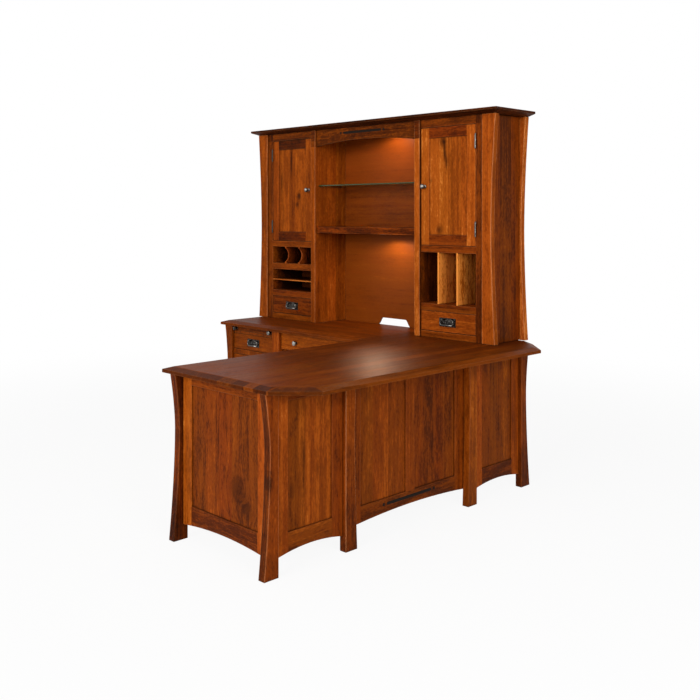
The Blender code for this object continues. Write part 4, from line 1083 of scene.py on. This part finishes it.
class FitHingeTips(bpy.types.Operator):
    """Caps the barrel of each door hinge with a small ball above and below."""

    bl_idname = "desk.fit_hinge_tips"
    bl_label = "Fit the hinge tips"
    # The barrels' axis from the door's edge and face, their middles from its ends, and half their length.
    axis_in, axis_out, end, half = 0.0045, 0.0048, 0.090, 0.0325

    def execute(self, context):
        # The right hinge tips are brighter than the left: a painted reflection.
        for side, polish in (("left", 0.05), ("right", 0.14)):
            material = bronze_material(f"hinge_bronze_{side}", polish)
            low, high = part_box(f"hutch_door_{side}")
            x = low[0] + self.axis_in if side == "left" else high[0] - self.axis_in
            y = HUTCH_FACE - self.axis_out
            shells = []
            for height in (low[2] + self.end, high[2] - self.end):
                for way in (-1, 1):
                    shells.append(self.ball((x, y, height + way * self.half), way))
            new_piece(f"hinge_tips_{side}", shells, material, f"{side}_door")
        return {"FINISHED"}

    def ball(self, place, way):
        """A neck and a ball, whose radius is its size times the sine of the angle from the far pole."""
        neck, size = 0.0036, 0.0042
        turn = np.linspace(math.radians(140.0), math.radians(8.0), 12)
        reach = 0.0040 + size * np.cos(turn)
        profile = [(neck, -0.0010), (neck, 0.0004), *zip(size * np.sin(turn), reach + 0.0004)]
        return turned([(radius, way * at) for radius, at in profile], place, "Z", 20)


class SetStage(bpy.types.Operator):
    """Sets the pale floor, the soft lights, the white surroundings and the level camera."""

    bl_idname = "desk.set_stage"
    bl_label = "Set the stage"
    # Each lamp's place, aim, width and height.
    lamps = {
        "key": ((1.6, -8.0, 3.2), (0.0, 0.3, 1.1), 4.5, 3.4),
        "fill": ((5.6, -1.6, 2.4), (0.6, 0.0, 0.7), 3.0, 2.6),
        "top": ((0.2, -0.6, 4.4), (0.2, -0.1, 0.8), 3.0, 3.0),
    }

    def execute(self, context):
        stage = context.scene.desk_stage
        self.floor(stage)
        for name, (place, aim, wide, high) in self.lamps.items():
            power = getattr(stage, name)
            new_light(name, "AREA", place, power, aim, shape="RECTANGLE", size=wide, size_y=high)
        self.surroundings(stage)
        camera = bpy.data.objects.new("camera", bpy.data.cameras.new("camera"))
        camera.location = stage.eye
        camera.rotation_euler = (math.radians(90.0), 0.0, stage.turn)
        camera.data.lens = stage.lens
        camera.data.shift_y = stage.drop
        camera.data.dof.use_dof = False
        context.scene.collection.objects.link(camera)
        context.scene.camera = camera
        context.scene.view_settings.view_transform = "Standard"
        return {"FINISHED"}

    def floor(self, stage):
        """A flat square grid at the height of the feet, nearly white to the background's rays."""
        reach, count = 14.0, 9
        ticks = np.linspace(-reach, reach, count)
        x, y = np.meshgrid(ticks, ticks, indexing="ij")
        points = np.stack([x, y, np.zeros_like(x)], -1).reshape(-1, 3)
        i, j = np.meshgrid(np.arange(count - 1), np.arange(count - 1), indexing="ij")
        first = i * count + j
        quads = np.stack([first, first + count, first + count + 1, first + 1], -1).reshape(-1, 4)
        mesh = bpy.data.meshes.new("floor")
        mesh.from_pydata(points.tolist(), [], quads.tolist())
        f = new_finish("floor_pale")
        coords = f.coords()
        speck = f.noise(coords, (3.0, 3.0, 3.0), 2.0)
        colour = f.mixed(speck * 0.15, opaque(stage.floor), (0.96, 0.96, 0.955, 1.0))
        matt = f.surface({"Base Color": colour, "Roughness": 0.9, "Specular IOR Level": 0.05})
        white = f.node("ShaderNodeEmission", None, {"Color": (1.0, 1.0, 1.0, 1.0), "Strength": 1.0})
        away = f.vector("LENGTH", coords, out="Value").between(1.6, 5.5)
        share = background_rays(f) * (0.92 + away * 0.08)
        f.close(f.node("ShaderNodeMixShader", None, {0: share, 1: matt, 2: white}))
        mesh.materials.append(f.owner)
        floor = bpy.data.objects.new("floor", mesh)
        bpy.context.scene.collection.objects.link(floor)

    def surroundings(self, stage):
        """A dim warm light all round, white to the background's rays."""
        f = Finish(bpy.data.worlds.new("surroundings"))
        dim = f.node("ShaderNodeBackground", None, {"Color": (1.0, 0.97, 0.93, 1.0), "Strength": stage.sky})
        white = f.node("ShaderNodeBackground", None, {"Color": (1.0, 1.0, 1.0, 1.0), "Strength": 1.0})
        shader = f.node("ShaderNodeMixShader", None, {0: background_rays(f), 1: dim, 2: white})
        f.node("ShaderNodeOutputWorld", None, {"Surface": shader})
        bpy.context.scene.world = f.owner


OPERATORS = (StainTops, StainLegs, StainFrames, StainPanels, StainFronts, StainDoors, StainHutch,
             StainInsides, DressMetal, PolishGlass, LayInlays, FitLamps, FitHingeTips, SetStage)


class DeskPanel(bpy.types.Panel):
    """The desk's settings and operators, in the sidebar."""

    bl_idname = "DESK_PT_finishes"
    bl_label = "Corner desk"
    bl_space_type = "VIEW_3D"
    bl_region_type = "UI"
    bl_category = "Desk"

    def draw(self, context):
        for group in (context.scene.desk_stain, context.scene.desk_fittings, context.scene.desk_stage):
            box = self.layout.box()
            for name in group.__annotations__:
                box.prop(group, name)
        for operator in OPERATORS:
            self.layout.operator(operator.bl_idname)


CLASSES = (StainSettings, FittingSettings, StageSettings, *OPERATORS, DeskPanel)


def register():
    for made in CLASSES:
        bpy.utils.register_class(made)
    bpy.types.Scene.desk_stain = bpy.props.PointerProperty(type=StainSettings)
    bpy.types.Scene.desk_fittings = bpy.props.PointerProperty(type=FittingSettings)
    bpy.types.Scene.desk_stage = bpy.props.PointerProperty(type=StageSettings)


def unregister():
    del bpy.types.Scene.desk_stage
    del bpy.types.Scene.desk_fittings
    del bpy.types.Scene.desk_stain
    for made in reversed(CLASSES):
        bpy.utils.unregister_class(made)


def main():
    register()
    for operator in OPERATORS:
        group, name = operator.bl_idname.split(".")
        getattr(getattr(bpy.ops, group), name)()
    bpy.context.view_layer.update()


if __name__ == "__main__":
    main()
